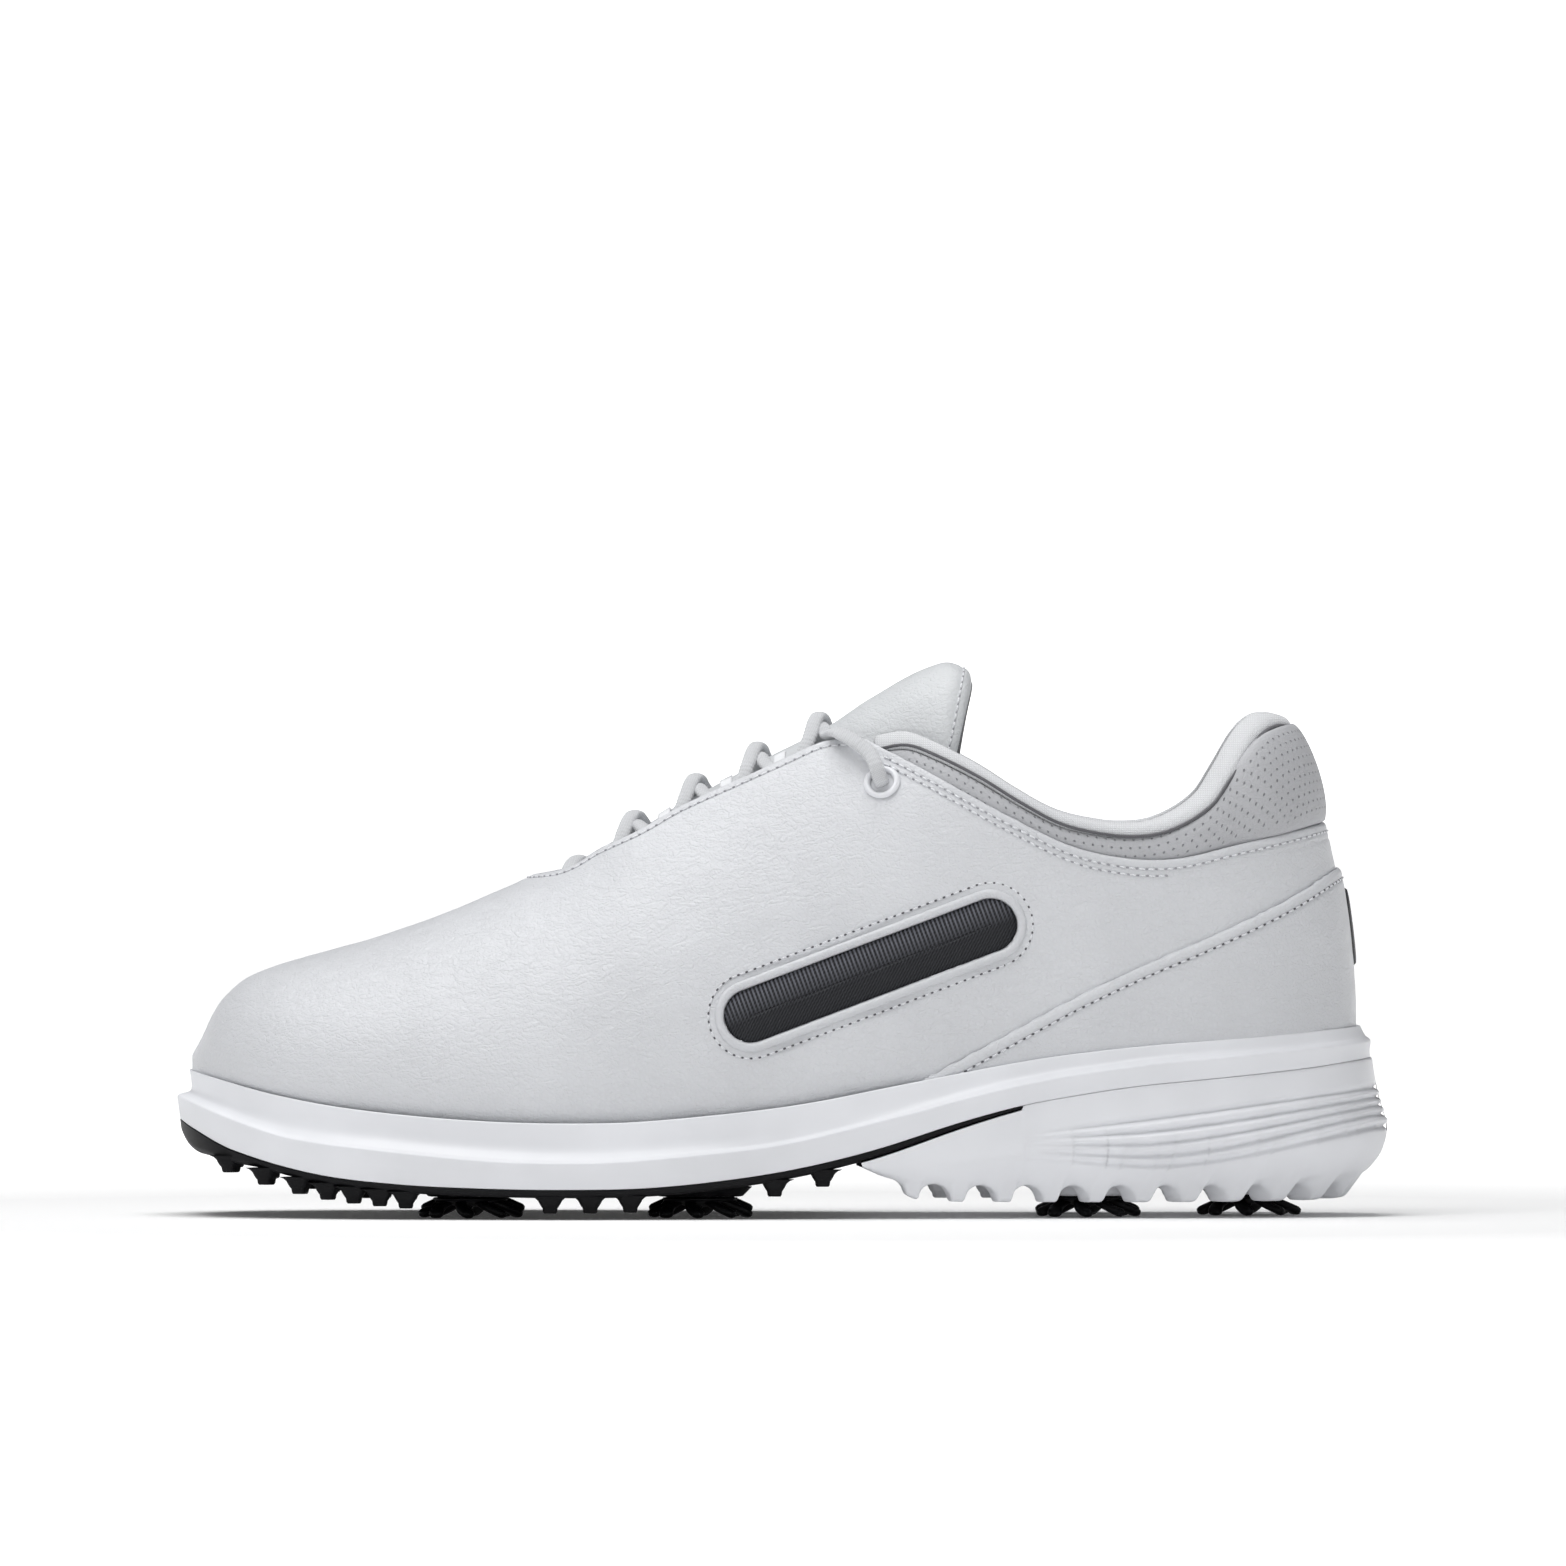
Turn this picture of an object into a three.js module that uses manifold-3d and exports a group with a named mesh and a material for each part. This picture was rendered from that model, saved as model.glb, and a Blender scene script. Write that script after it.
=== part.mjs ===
// A left golf shoe, in millimetres: -X toe, +X heel, -Y outer side, +Z up, ground at Z = 0.
// The upper is built in layers that are all offsets of one outer surface.
import * as THREE from 'three';
import { mergeVertices } from 'three/addons/utils/BufferGeometryUtils.js';
import Module from 'manifold-3d';

const wasm = await Module();
wasm.setup();

// Driving dimensions of the sole.
const LENGTH = 304;
const TOE_END = -LENGTH / 2;
const GAP = 0.3;
const PLATE_THICKNESS = 2.0;
const STATIONS = 24;
const AROUND = 20;
const SIMPLER_BY = 0.1;

// Ends of the upper's outer surface, and where its rounded toe and heel begin.
const UPPER_TOE = -148.4;
const UPPER_HEEL = 142.6;
const TOE_ROUND_FROM = -95;
const HEEL_ROUND_FROM = 95;
const TOE_ROUNDNESS = 2.2;
const HEEL_ROUNDNESS = 2.3;
const UPPER_MIDDLE = (UPPER_TOE + UPPER_HEEL) / 2;
const UPPER_HALF = (UPPER_HEEL - UPPER_TOE) / 2;

// Depths of the upper's layers below its outer surface, outside first.
const OVERLAY = [-1.5, -0.3];
const LEATHER = [0, 1.4];
const BACKING = [1.7, 2.7];
const LINING = [3.0, 4.0];
const TONGUE_SHELL = [7.6, 8.6];
const TONGUE_FOAM = [8.9, 12.2];
const TONGUE_LINING = [12.5, 13.3];
const COLLAR_SWELL = 3.6;

// Heights above the feather line of what lies under the foot.
const BOARD = [1.7, 3.2];
const SOCKLINER = [3.5, 7.5];
const LINING_FOOT = 4.4;

// Spikes, each in a receptacle of its own.
const SPIKE_SEAT = 5.4;
const SPIKE_RADIUS = 12.8;
const RECEPTACLE_RADIUS = 9;
const RECEPTACLE_HEIGHT = 7;
const BORE_RADIUS = 4.6;
const SPIKES = [
  { name: 'forefoot_front_lateral', x: -78, y: -30 },
  { name: 'forefoot_front_medial', x: -78, y: 30 },
  { name: 'forefoot_rear_lateral', x: -20.6, y: -29 },
  { name: 'forefoot_rear_medial', x: -20.6, y: 27 },
  { name: 'heel_lateral', x: 76.6, y: -17 },
  { name: 'heel_medial', x: 76.6, y: 15 },
  { name: 'heel_rear', x: 117, y: -1 },
];

// Lacing: a flat oval lace that crosses itself over the tongue, and runs along the eyestays between.
const LACE = { wide: 2, thick: 1.15 };
// A crossing over the tongue: its route points off the middle, how it slants and falls away, its room below.
const CROSSING = { across: [-8, -4, 0, 4, 8], slant: 0.27, fall: 0.3, clear: 1.25 };
const CROSSINGS = [9, -6.5, -22, -37.6, -52];
const CROSSING_REACH = 4.2;
const LACE_FACES = 27;
const LACE_BAR_X = -58.6;
const THROAT_FRONT = -62;
const THROAT_BACK = 21.6;
const THROAT_ROUND_FROM = -55;
const LOOP_WIDTH = 3;
const LOOP_TAIL = 2.4;
const EYELET = { x: 24.9, z: 108.8 };

const shoe = new THREE.Group();

// ---------------------------------------------------------------- small tools

function through(...points) {
  // A smooth function through the points, level beyond its ends.
  const last = points.length - 1;
  const slopes = points.map((point, i) => {
    const before = points[Math.max(i - 1, 0)];
    const after = points[Math.min(i + 1, last)];
    return (after[1] - before[1]) / (after[0] - before[0]);
  });
  return (x) => {
    if (x <= points[0][0]) {
      return points[0][1];
    }
    if (x >= points[last][0]) {
      return points[last][1];
    }
    const i = points.findIndex((point) => point[0] > x) - 1;
    const span = points[i + 1][0] - points[i][0];
    const t = (x - points[i][0]) / span;
    const rise = t * t * (3 - 2 * t);
    return points[i][1] * (1 - rise) + points[i + 1][1] * rise
      + span * slopes[i] * t * (1 - t) ** 2 - span * slopes[i + 1] * t * t * (1 - t);
  };
}

function ease(value, from, to) {
  const t = Math.min(1, Math.max(0, (value - from) / (to - from)));
  return t * t * (3 - 2 * t);
}

function roundEnd(x, from, end, power) {
  const t = Math.min(1, Math.max(0, (x - from) / (end - from)));
  return (1 - t ** power) ** (1 / power);
}

function bunched(from, to, count) {
  // Positions from one end to the other, closer together at both ends.
  return Array.from({ length: count + 1 }, (_, k) => (
    from + (to - from) * (1 - Math.cos((Math.PI * k) / count)) / 2));
}

function loft(rings) {
  // A closed solid through rings that all have the same number of points, first half facing second half.
  const size = rings[0].length;
  const positions = rings.flat(2);
  const index = [];
  rings.slice(1).forEach((_, r) => {
    for (let i = 0; i < size; i += 1) {
      const j = (i + 1) % size;
      const a = r * size + i;
      const b = r * size + j;
      index.push(a, b, b + size, a, b + size, a + size);
    }
  });
  // Each end is closed by strips that run straight across it.
  const lastRing = (rings.length - 1) * size;
  for (let i = 0; i < Math.floor(size / 2); i += 1) {
    const corners = [i, i + 1, size - 2 - i, size - 1 - i];
    const faces = [[0, 1, 2], [0, 2, 3]].map((face) => face.map((corner) => corners[corner]))
      .filter(([a, b, c]) => a !== b && b !== c && c !== a);
    for (const [a, b, c] of faces) {
      index.push(a, c, b, lastRing + a, lastRing + b, lastRing + c);
    }
  }
  const geometry = new THREE.BufferGeometry();
  geometry.setAttribute('position', new THREE.Float32BufferAttribute(positions, 3));
  geometry.setIndex(index);
  return solid(geometry);
}

function solid(geometry) {
  const bare = geometry.clone();
  bare.deleteAttribute('normal');
  bare.deleteAttribute('uv');
  const merged = mergeVertices(bare, 1e-4);
  const made = new wasm.Manifold(new wasm.Mesh({
    numProp: 3,
    vertProperties: new Float32Array(merged.attributes.position.array),
    triVerts: new Uint32Array(merged.index.array),
  }));
  if (made.volume() > 0) {
    return made;
  }
  const corners = merged.index.array;
  const turned = new Uint32Array(corners.length);
  for (let i = 0; i < corners.length; i += 3) {
    turned.set([corners[i], corners[i + 2], corners[i + 1]], i);
  }
  return new wasm.Manifold(new wasm.Mesh({
    numProp: 3,
    vertProperties: new Float32Array(merged.attributes.position.array),
    triVerts: turned,
  }));
}

function largest(made) {
  return made.decompose().sort((a, b) => b.volume() - a.volume())[0];
}

function outlineShape(points) {
  return new THREE.Shape(points.map(([a, b]) => new THREE.Vector2(a, b)));
}

function sidePrism(points, yLow = -100, yHigh = 100) {
  // An outline in X and Z, carried across the shoe's width.
  const geometry = new THREE.ExtrudeGeometry(outlineShape(points), {
    depth: yHigh - yLow, bevelEnabled: false, steps: 1,
  });
  geometry.rotateX(Math.PI / 2);
  geometry.translate(0, yHigh, 0);
  return solid(geometry);
}

function planPrism(points, zLow, zHigh) {
  const geometry = new THREE.ExtrudeGeometry(outlineShape(points), {
    depth: zHigh - zLow, bevelEnabled: false, steps: 1,
  });
  geometry.translate(0, 0, zLow);
  return solid(geometry);
}

function follow(line, from, to, steps, shift = 0) {
  // Points along a line given as a function of X.
  return Array.from({ length: steps + 1 }, (_, k) => {
    const x = from + ((to - from) * k) / steps;
    return [x, line(x) + shift];
  });
}

function add(name, made, material) {
  // One named piece of the shoe, as a single closed solid.
  const shape = largest(made).simplify(SIMPLER_BY).getMesh();
  const geometry = new THREE.BufferGeometry();
  geometry.setAttribute('position', new THREE.BufferAttribute(shape.vertProperties, 3));
  geometry.setIndex(new THREE.BufferAttribute(shape.triVerts, 1));
  geometry.computeVertexNormals();
  const mesh = new THREE.Mesh(geometry, material);
  mesh.name = name;
  shoe.add(mesh);
}

function finish(color, roughness, metalness = 0) {
  return new THREE.MeshStandardMaterial({ color, roughness, metalness });
}

const materials = {
  leather: finish(0xeceef2, 0.45),
  whiteMoulding: finish(0xe9ebef, 0.4),
  blackMoulding: finish(0x16171a, 0.4),
  textile: finish(0xd2d5da, 0.85),
  foam: finish(0xe6e3da, 0.95),
  board: finish(0xb9b3a6, 0.8),
  shank: finish(0x8f9499, 0.35, 1),
  lace: finish(0xd5d8dc, 0.8),
  inlay: finish(0x24262b, 0.4),
  eyelet: finish(0xe4e6ea, 0.4),
};

// ---------------------------------------------------------------- lines of the shoe

// Feather line, where the upper meets the midsole.
const feather = through(
  [-152, 36.6], [-146, 35.2], [-127, 30.3], [-106.6, 26.8], [-75, 24], [-44, 23.5], [-23.6, 24.8],
  [4, 28], [31.6, 33.3], [64, 39.3], [90.6, 42.5], [117, 44.5], [146, 47.2]);
// Widest line of the midsole.
const ridge = through(
  [-152, 29.8], [-145, 27], [-135, 23.3], [-123, 19.8], [-101.6, 17], [-71.6, 14.2], [-47.4, 13.8],
  [-29, 15], [0, 18.4], [30, 25.6], [60, 33.2], [90, 38], [117, 40.6], [152, 44]);
// Underside of the midsole.
const seam = through(
  [-152, 24.8], [-148, 22.3], [-137.6, 17], [-116.9, 11.3], [-96, 8.8], [-75, 7.8], [-54.6, 7.5],
  [-34, 7.9], [-13.4, 9.9], [4, 12.7], [22.6, 17.2], [45, 24.3], [60.4, 28.4], [74.6, 31],
  [88.9, 33.1], [111.4, 35.3], [131.9, 37.5], [152, 40.4]);
const plateThickness = through(
  [-152, 1.8], [-149.5, 4.6], [-147, 5.4], [-144, 4.5], [-137, 3.1], [-130, PLATE_THICKNESS], [20, PLATE_THICKNESS],
  [60, 0.8]);
const heelUnderside = through([19, 13.2], [25, 10.6], [31, 9.3], [45, 8.4], [130, 8.4], [152, 9.6]);

// Plan of the sole and of the upper: middle line and half width without the rounded ends.
const middle = through([-152, 7], [-100, 2], [-60, 0], [-20, -1.7], [20, -4.2], [40, -4], [80, -2], [120, -0.8],
  [152, -0.5]);
const soleWidth = through([-152, 48], [-125, 49.5], [-100, 51.5], [-60, 55], [-20, 50], [0, 45.5], [20, 42],
  [40, 40], [60, 39.6], [80, 40.2], [120, 41], [152, 41]);
const upperWidth = through([-150, 44.5], [-125, 45.5], [-100, 47], [-60, 50.5], [-20, 46], [0, 42.5],
  [20, 39.2], [40, 36.8], [60, 35], [80, 34.2], [120, 33.6], [150, 33.4]);

// Crest of the upper's surface, and how square its cross-section is.
const crest = through(
  [-148.4, 40], [-145.9, 44.5], [-143.4, 50], [-140.9, 54], [-135.9, 58.6], [-130.9, 61.2], [-120.9, 64.6],
  [-100.9, 70.2], [-80.9, 77.4], [-60.9, 86.4], [-52, 92.3], [-46, 97], [-38, 103.4], [-22, 113], [-6.5, 121],
  [9, 128.6], [16, 132.6], [24, 137.2], [34, 142.8], [41.6, 145.7], [47, 146.6], [60, 152]);
const crestShift = through([-148, 7], [-100, 4], [-60, 3], [0, 1.5], [45, 0], [80, -0.8], [150, -0.5]);
const squareness = through([-148, 2.15], [-100, 2.1], [-60, 1.9], [-30, 1.75], [10, 1.78], [30, 1.95], [50, 2.35],
  [75, 3], [150, 3.1]);

// Edges seen from the side.
const eyestayEdge = through(
  [-62, 84.6], [-58.5, 86], [-52.4, 88.3], [-46, 92.2], [-35.4, 97.5], [-25.9, 103], [-9.9, 110.4], [-1.1, 114.4],
  [9.6, 119.2], [15, 120.1], [21.6, 120]);
const topline = through(
  [21.6, 120], [30.6, 121.6], [37.6, 119.3], [49.1, 113.5], [59.1, 107.3], [69.1, 102], [79.1, 99.5],
  [88, 98.8], [96.6, 100.3], [106.6, 106.3], [111.6, 113.5], [116.6, 121.3], [120.6, 125.2], [123.7, 126.3],
  [127, 125.6], [132, 123.6]);
const quarterEdge = through(
  [21.6, 119.6], [36, 112], [55, 101.5], [72.6, 93], [86.9, 89.9], [99.4, 89.9], [112.9, 93], [126.3, 96.1],
  [145, 101]);
const overlayEdge = through(
  [29, 32], [55, 46], [72.6, 55.5], [90.6, 64], [108.4, 71.5], [126.3, 80], [139.1, 87.6], [146, 91]);

// ---------------------------------------------------------------- the upper's surface

function swell(x, z) {
  // The padded collar stands in from the lining by this much.
  return COLLAR_SWELL * ease(x, 40, 72) * ease(z, 62, 86);
}

const even = () => 0;

function place(x, across, rise, depth, extra = even) {
  // One point of the surface: across is -1 to 1, rise is 0 at the feather line and 1 at the crest.
  const height = crest(x) - feather(x);
  const d = depth + extra(x, feather(x) + height * rise);
  const x1 = UPPER_MIDDLE + (x - UPPER_MIDDLE) * (1 - d / UPPER_HALF);
  const tuck = 1 - 0.05 * Math.max(0, 1 - rise / 0.15) ** 2;
  const centre = middle(x) * (1 - rise) + crestShift(x) * rise;
  const half = upperWidth(x) * roundEnd(x, TOE_ROUND_FROM, UPPER_TOE, TOE_ROUNDNESS)
    * roundEnd(x, HEEL_ROUND_FROM, UPPER_HEEL, HEEL_ROUNDNESS);
  const y = centre + across * half * tuck * (1 - d / upperWidth(x));
  const z = feather(x1) + d + height * rise * (1 - (2 * d) / Math.max(height, 38));
  const lean = (Math.max(0, z - 48) ** 2 / 400) * ease(x1, 60, 140);
  return [x1 - lean, y, z];
}

function surface(depth, extra = even) {
  const rings = bunched(UPPER_TOE + 0.3, UPPER_HEEL - 0.3, STATIONS).map((x) => {
    const power = 2 / squareness(x);
    return Array.from({ length: AROUND + 1 }, (_, k) => {
      const angle = (Math.PI * k) / AROUND;
      const across = -Math.sign(Math.cos(angle)) * Math.abs(Math.cos(angle)) ** power;
      return place(x, across, Math.sin(angle) ** power, depth, extra);
    });
  });
  return loft(rings);
}

function layer([outer, inner], extra = even) {
  return surface(outer, extra).subtract(surface(inner, extra));
}

function onWall(x, z, depth, side, extra = even) {
  // The point of the surface's side wall at a station and a height.
  const power = squareness(x);
  let rise = (z - feather(x)) / (crest(x) - feather(x));
  let point = null;
  for (let pass = 0; pass < 6; pass += 1) {
    const across = Math.max(0, 1 - Math.min(1, rise) ** power) ** (1 / power);
    point = place(x, side * across, rise, depth, extra);
    rise += (z - point[2]) / (crest(x) - feather(x));
  }
  return point;
}

function onCrown(x, y, depth) {
  // The height of the surface's top at a place across it.
  const power = squareness(x);
  let rise = 1;
  for (let pass = 0; pass < 8; pass += 1) {
    const centre = middle(x) * (1 - rise) + crestShift(x) * rise;
    rise = (1 - (Math.abs(y - centre) / (upperWidth(x) - depth)) ** power) ** (1 / power);
  }
  return place(x, 0, rise, depth)[2];
}

function inset(amount, steps = 36) {
  // The upper's plan outline at the feather line, drawn in by an amount.
  const stations = bunched(UPPER_TOE + amount, UPPER_HEEL - amount, steps);
  const edge = (x, side) => {
    const at = UPPER_MIDDLE + (x - UPPER_MIDDLE) / (1 - amount / UPPER_HALF);
    const rounded = roundEnd(at, TOE_ROUND_FROM, UPPER_TOE, TOE_ROUNDNESS)
      * roundEnd(at, HEEL_ROUND_FROM, UPPER_HEEL, HEEL_ROUNDNESS);
    return [x, middle(at) + side * Math.max(0.4, (upperWidth(at) - amount) * rounded)];
  };
  return [...stations.map((x) => edge(x, -1)), ...stations.reverse().map((x) => edge(x, 1))];
}

function aboveFloor(lift) {
  // Everything above the feather line by that much.
  return sidePrism([...follow(feather, -160, 160, 40, lift), [160, 260], [-160, 260]]);
}

// ---------------------------------------------------------------- sole

const soleStations = bunched(0, 1, STATIONS);

function soleEdge(share, toe, heel, widthOf) {
  // A point of a sole outline: share runs from 0 at the toe end to 1 at the heel end.
  const x = toe + (heel - toe) * share;
  const reach = LENGTH / 2;
  const full = -reach + 2 * reach * share;
  const rounded = roundEnd(full, TOE_ROUND_FROM, -reach - 0.4, TOE_ROUNDNESS)
    * roundEnd(full, HEEL_ROUND_FROM, reach + 0.4, HEEL_ROUNDNESS);
  return { x, half: widthOf(x) * rounded };
}

function soleRing(share, levels) {
  // A ring across the sole: the levels from top to bottom on one side, and back up on the other.
  const sides = levels.map((level) => {
    const { x, half } = soleEdge(share, level.toe, level.heel, level.width);
    return { x, half, z: level.height(x) };
  });
  const left = sides.map(({ x, half, z }) => [x, middle(x) - half, z]);
  const right = sides.map(({ x, half, z }) => [x, middle(x) + half, z]).reverse();
  return [...left, ...right];
}

const midsoleWidth = (x) => {
  const heelShare = ease(x, 0, 70);
  return soleWidth(x) * (1 - heelShare) + (upperWidth(x) + 4) * heelShare;
};
const lowerLevel = {
  toe: TOE_END + 0.8, heel: 147.4, width: (x) => midsoleWidth(x) - 0.6, height: (x) => seam(x) + GAP / 2,
};

function receptaclePockets(spikes) {
  const pockets = spikes.map(({ x, y }) => {
    const pocket = new THREE.CylinderGeometry(RECEPTACLE_RADIUS + GAP, RECEPTACLE_RADIUS + GAP, 30, 20);
    pocket.rotateX(Math.PI / 2);
    pocket.translate(x, y, SPIKE_SEAT + RECEPTACLE_HEIGHT + GAP - 15);
    return solid(pocket);
  });
  return wasm.Manifold.union(pockets);
}

function midsole() {
  const levels = [
    { toe: UPPER_TOE - 0.6, heel: UPPER_HEEL + 1.8, width: (x) => upperWidth(x) + 0.8, height: (x) => feather(x) - GAP },
    { toe: TOE_END, heel: 147.2, width: midsoleWidth, height: ridge },
    lowerLevel,
  ];
  return loft(soleStations.map((share) => soleRing(share, levels))).subtract(receptaclePockets(SPIKES.slice(0, 4)));
}

function lug(x, y, turn, length, width, bottom, top) {
  const geometry = new THREE.CylinderGeometry(0.78, 1, top - bottom, 4, 1);
  geometry.rotateY(Math.PI / 4);
  geometry.rotateX(-Math.PI / 2);
  geometry.scale(length / Math.SQRT2, width / Math.SQRT2, 1);
  geometry.rotateZ(turn);
  geometry.translate(x, y, (top + bottom) / 2);
  return solid(geometry);
}

function boss({ x, y }, top) {
  const geometry = new THREE.CylinderGeometry(RECEPTACLE_RADIUS + 2.6, RECEPTACLE_RADIUS + 1.6, top - SPIKE_SEAT, 20);
  geometry.rotateX(Math.PI / 2);
  geometry.translate(x, y, (top + SPIKE_SEAT) / 2);
  return solid(geometry);
}

function plate() {
  const shareAt = (x) => (x - lowerLevel.toe) / (lowerLevel.heel - lowerLevel.toe);
  const end = shareAt(60);
  const stations = [...soleStations.filter((share) => share < end - 0.01), end];
  const top = { ...lowerLevel, width: (x) => midsoleWidth(x) - 0.7, height: (x) => seam(x) - GAP / 2 };
  const bottom = {
    ...lowerLevel, width: (x) => midsoleWidth(x) - 2.4, height: (x) => seam(x) - GAP / 2 - plateThickness(x),
  };
  let made = loft(stations.map((share) => soleRing(share, [top, bottom])));
  const lugs = [];
  for (const x of [-138, -129, -120.5, -113.5, -107, -100.5, -94, -58, -48, -38, -2, 10]) {
    for (const side of [-1, 1]) {
      const { half } = soleEdge(shareAt(x), top.toe, top.heel, top.width);
      const base = seam(x) - PLATE_THICKNESS;
      const turn = side * 0.5 * ease(-x, 90, 145);
      lugs.push(lug(x, middle(x) + side * (half - 5.5), turn, 4.4, 6.5, Math.max(1.2, base - 3.4), base + 1));
    }
  }
  for (const [x, y] of [[-118, 4], [-104, -8], [-104, 14], [-58, 0], [-48, 0], [-38, -1], [-2, -3]]) {
    const base = seam(x) - PLATE_THICKNESS;
    lugs.push(lug(x, y, 0, 4.4, 9, Math.max(1.4, base - 3), base + 1));
  }
  const forefoot = SPIKES.slice(0, 4);
  made = wasm.Manifold.union([made, ...lugs, ...forefoot.map((at) => boss(at, seam(at.x) - 1.2))]);
  return made.subtract(receptaclePockets(forefoot));
}

function heelPiece() {
  const shareAt = (x) => (x - lowerLevel.toe) / (lowerLevel.heel - lowerLevel.toe);
  const start = shareAt(19.6);
  const stations = [start, ...soleStations.filter((share) => share > start + 0.012)];
  const roof = (x) => (x < 60 ? seam(x) - plateThickness(x) - GAP * 1.5 : seam(x) - GAP / 2);
  const flare = (x) => ease(x, 25, 75);
  const levels = [[0, 147.8, 0], [0.3, 149.2, 0.5], [0.6, 152, 1], [0.8, 150.2, -0.6], [1, 141.5, -4.4]];
  const made = loft(stations.map((share) => soleRing(share, levels.map(([drop, heel, out]) => ({
    toe: TOE_END + 0.8,
    heel: lowerLevel.heel + (heel - lowerLevel.heel) * ease(share, 0.45, 1),
    width: (x) => midsoleWidth(x) - 0.7 + (out > 0 ? out * 2.6 * flare(x) : out),
    height: (x) => roof(x) + (heelUnderside(x) - roof(x)) * drop,
  })))));
  const lugs = [];
  for (let k = 0; k < 10; k += 1) {
    const x = 32 + 11.4 * k;
    for (const side of [-1, 1]) {
      const { half } = soleEdge(shareAt(x), TOE_END + 0.8, 144, (at) => midsoleWidth(at) - 5.4);
      const depth = 4.4 * ease(x, 20, 40);
      lugs.push(lug(x, middle(x) + side * half, side * -0.5 * ease(x, 110, 140), 6, 5.6, 8.4 - depth, 12));
    }
  }
  for (const y of [-13, 0, 12]) {
    lugs.push(lug(140.5, y, 0, 5.6, 6, 4.4, 12));
  }
  for (const x of [40, 52]) {
    lugs.push(lug(x, -3, 0, 5.6, 24, 4.6, 12));
  }
  const heelSpikes = SPIKES.slice(4);
  return wasm.Manifold.union([made, ...lugs, ...heelSpikes.map((at) => boss(at, 12))])
    .subtract(receptaclePockets(heelSpikes));
}

function receptacle({ x, y }) {
  const top = SPIKE_SEAT + RECEPTACLE_HEIGHT;
  const profile = [
    [0, top], [RECEPTACLE_RADIUS, top], [RECEPTACLE_RADIUS, SPIKE_SEAT], [BORE_RADIUS, SPIKE_SEAT],
    [BORE_RADIUS, top - 1], [0, top - 1],
  ].map(([r, z]) => new THREE.Vector2(r, z)).reverse();
  const geometry = new THREE.LatheGeometry(profile, 12);
  geometry.rotateX(Math.PI / 2);
  geometry.translate(x, y, 0);
  return solid(geometry);
}

function spike({ x, y }) {
  // A base disc, a stud that turns in the receptacle, and curved legs down to the ground.
  const base = SPIKE_SEAT - GAP;
  const profile = [[0, 3.1], [7, 3.1], [9.4, 4], [9.4, base], [BORE_RADIUS - 0.4, base],
    [BORE_RADIUS - 0.4, base + 5.6], [0, base + 5.6]].map(([r, z]) => new THREE.Vector2(r, z));
  const body = new THREE.LatheGeometry(profile, 12);
  body.rotateX(Math.PI / 2);
  const legProfile = [[6, 4.4], [6, 3.2], [10.8, 0], [SPIKE_RADIUS, 0], [SPIKE_RADIUS - 0.6, 1.8], [9, 4.4]];
  const legs = Array.from({ length: 8 }, (_, k) => {
    const leg = new THREE.ExtrudeGeometry(outlineShape(legProfile), { depth: 2.8, bevelEnabled: false, steps: 1 });
    leg.rotateX(Math.PI / 2);
    leg.translate(0, 1.4, 0);
    leg.rotateZ((Math.PI / 4) * (k + 0.5));
    return solid(leg);
  });
  return wasm.Manifold.union([solid(body), ...legs]).translate([x, y, 0]);
}

function slabUnderFoot([low, high], edge, from = -200, to = 200) {
  // A sheet that follows the feather line, cut to the upper's inset outline.
  const band = sidePrism([...follow(feather, -160, 160, 32, low), ...follow(feather, -160, 160, 32, high).reverse()]);
  const wanted = planPrism([[from, -90], [to, -90], [to, 90], [from, 90]], -10, 90);
  return band.intersect(planPrism(inset(edge, 20), -10, 90)).intersect(wanted);
}

function shank() {
  const band = sidePrism([...follow(feather, -24, 78, 10, 0), ...follow(feather, -24, 78, 10, 1.3).reverse()]);
  const plan = [[-24, -7], [-20, -10], [30, -9], [76, -8], [78, -5], [78, 3], [76, 6], [30, 3], [-20, 6], [-24, 3]];
  return band.intersect(planPrism(plan, 0, 90));
}

// ---------------------------------------------------------------- upper

function throatSide(x, side) {
  // How far to the side the eyestay edge is, closing in a round end towards the toe.
  const edge = onWall(x, eyestayEdge(x), 0, side)[1] - crestShift(x);
  return crestShift(x) + edge * roundEnd(x, THROAT_ROUND_FROM, THROAT_FRONT, 2);
}

function throatCutter() {
  const steps = [0, 0.4, 1.2, 2.6, 4.4, 7, 14, 22, 32, 42, 52, 62, 70, 77, 81, THROAT_BACK - THROAT_FRONT];
  const edge = (side) => steps.map((step) => [THROAT_FRONT + step, throatSide(THROAT_FRONT + step, side)]);
  return planPrism([...edge(-1), ...edge(1).reverse().slice(0, -1)], 60, 220);
}

const throatCut = throatCutter();
const toplineCut = (shift) => sidePrism([
  ...follow(topline, 21.6, 125, 24, shift), [180, 126.6 + shift], [180, 220], [21.6, 220]]);
const quarterCut = (shift) => sidePrism([...follow(quarterEdge, 21.6, 145, 12, shift), [180, 101 + shift],
  [180, 220], [21.6, 220]]);

function sideBar(grow) {
  // The slanted bar on the shoe's side: a strip with round ends, grown all round by an amount.
  const half = 7 + grow;
  const reach = 32;
  const tilt = 0.36;
  const points = [];
  for (const [end, start] of [[1, -Math.PI / 2], [-1, Math.PI / 2]]) {
    for (let k = 0; k <= 5; k += 1) {
      const angle = start + (Math.PI * k) / 5;
      const a = end * reach + half * Math.cos(angle);
      const b = half * Math.sin(angle);
      points.push([22 + a * Math.cos(tilt) - b * Math.sin(tilt), 62 + a * Math.sin(tilt) + b * Math.cos(tilt)]);
    }
  }
  return points;
}

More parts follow.
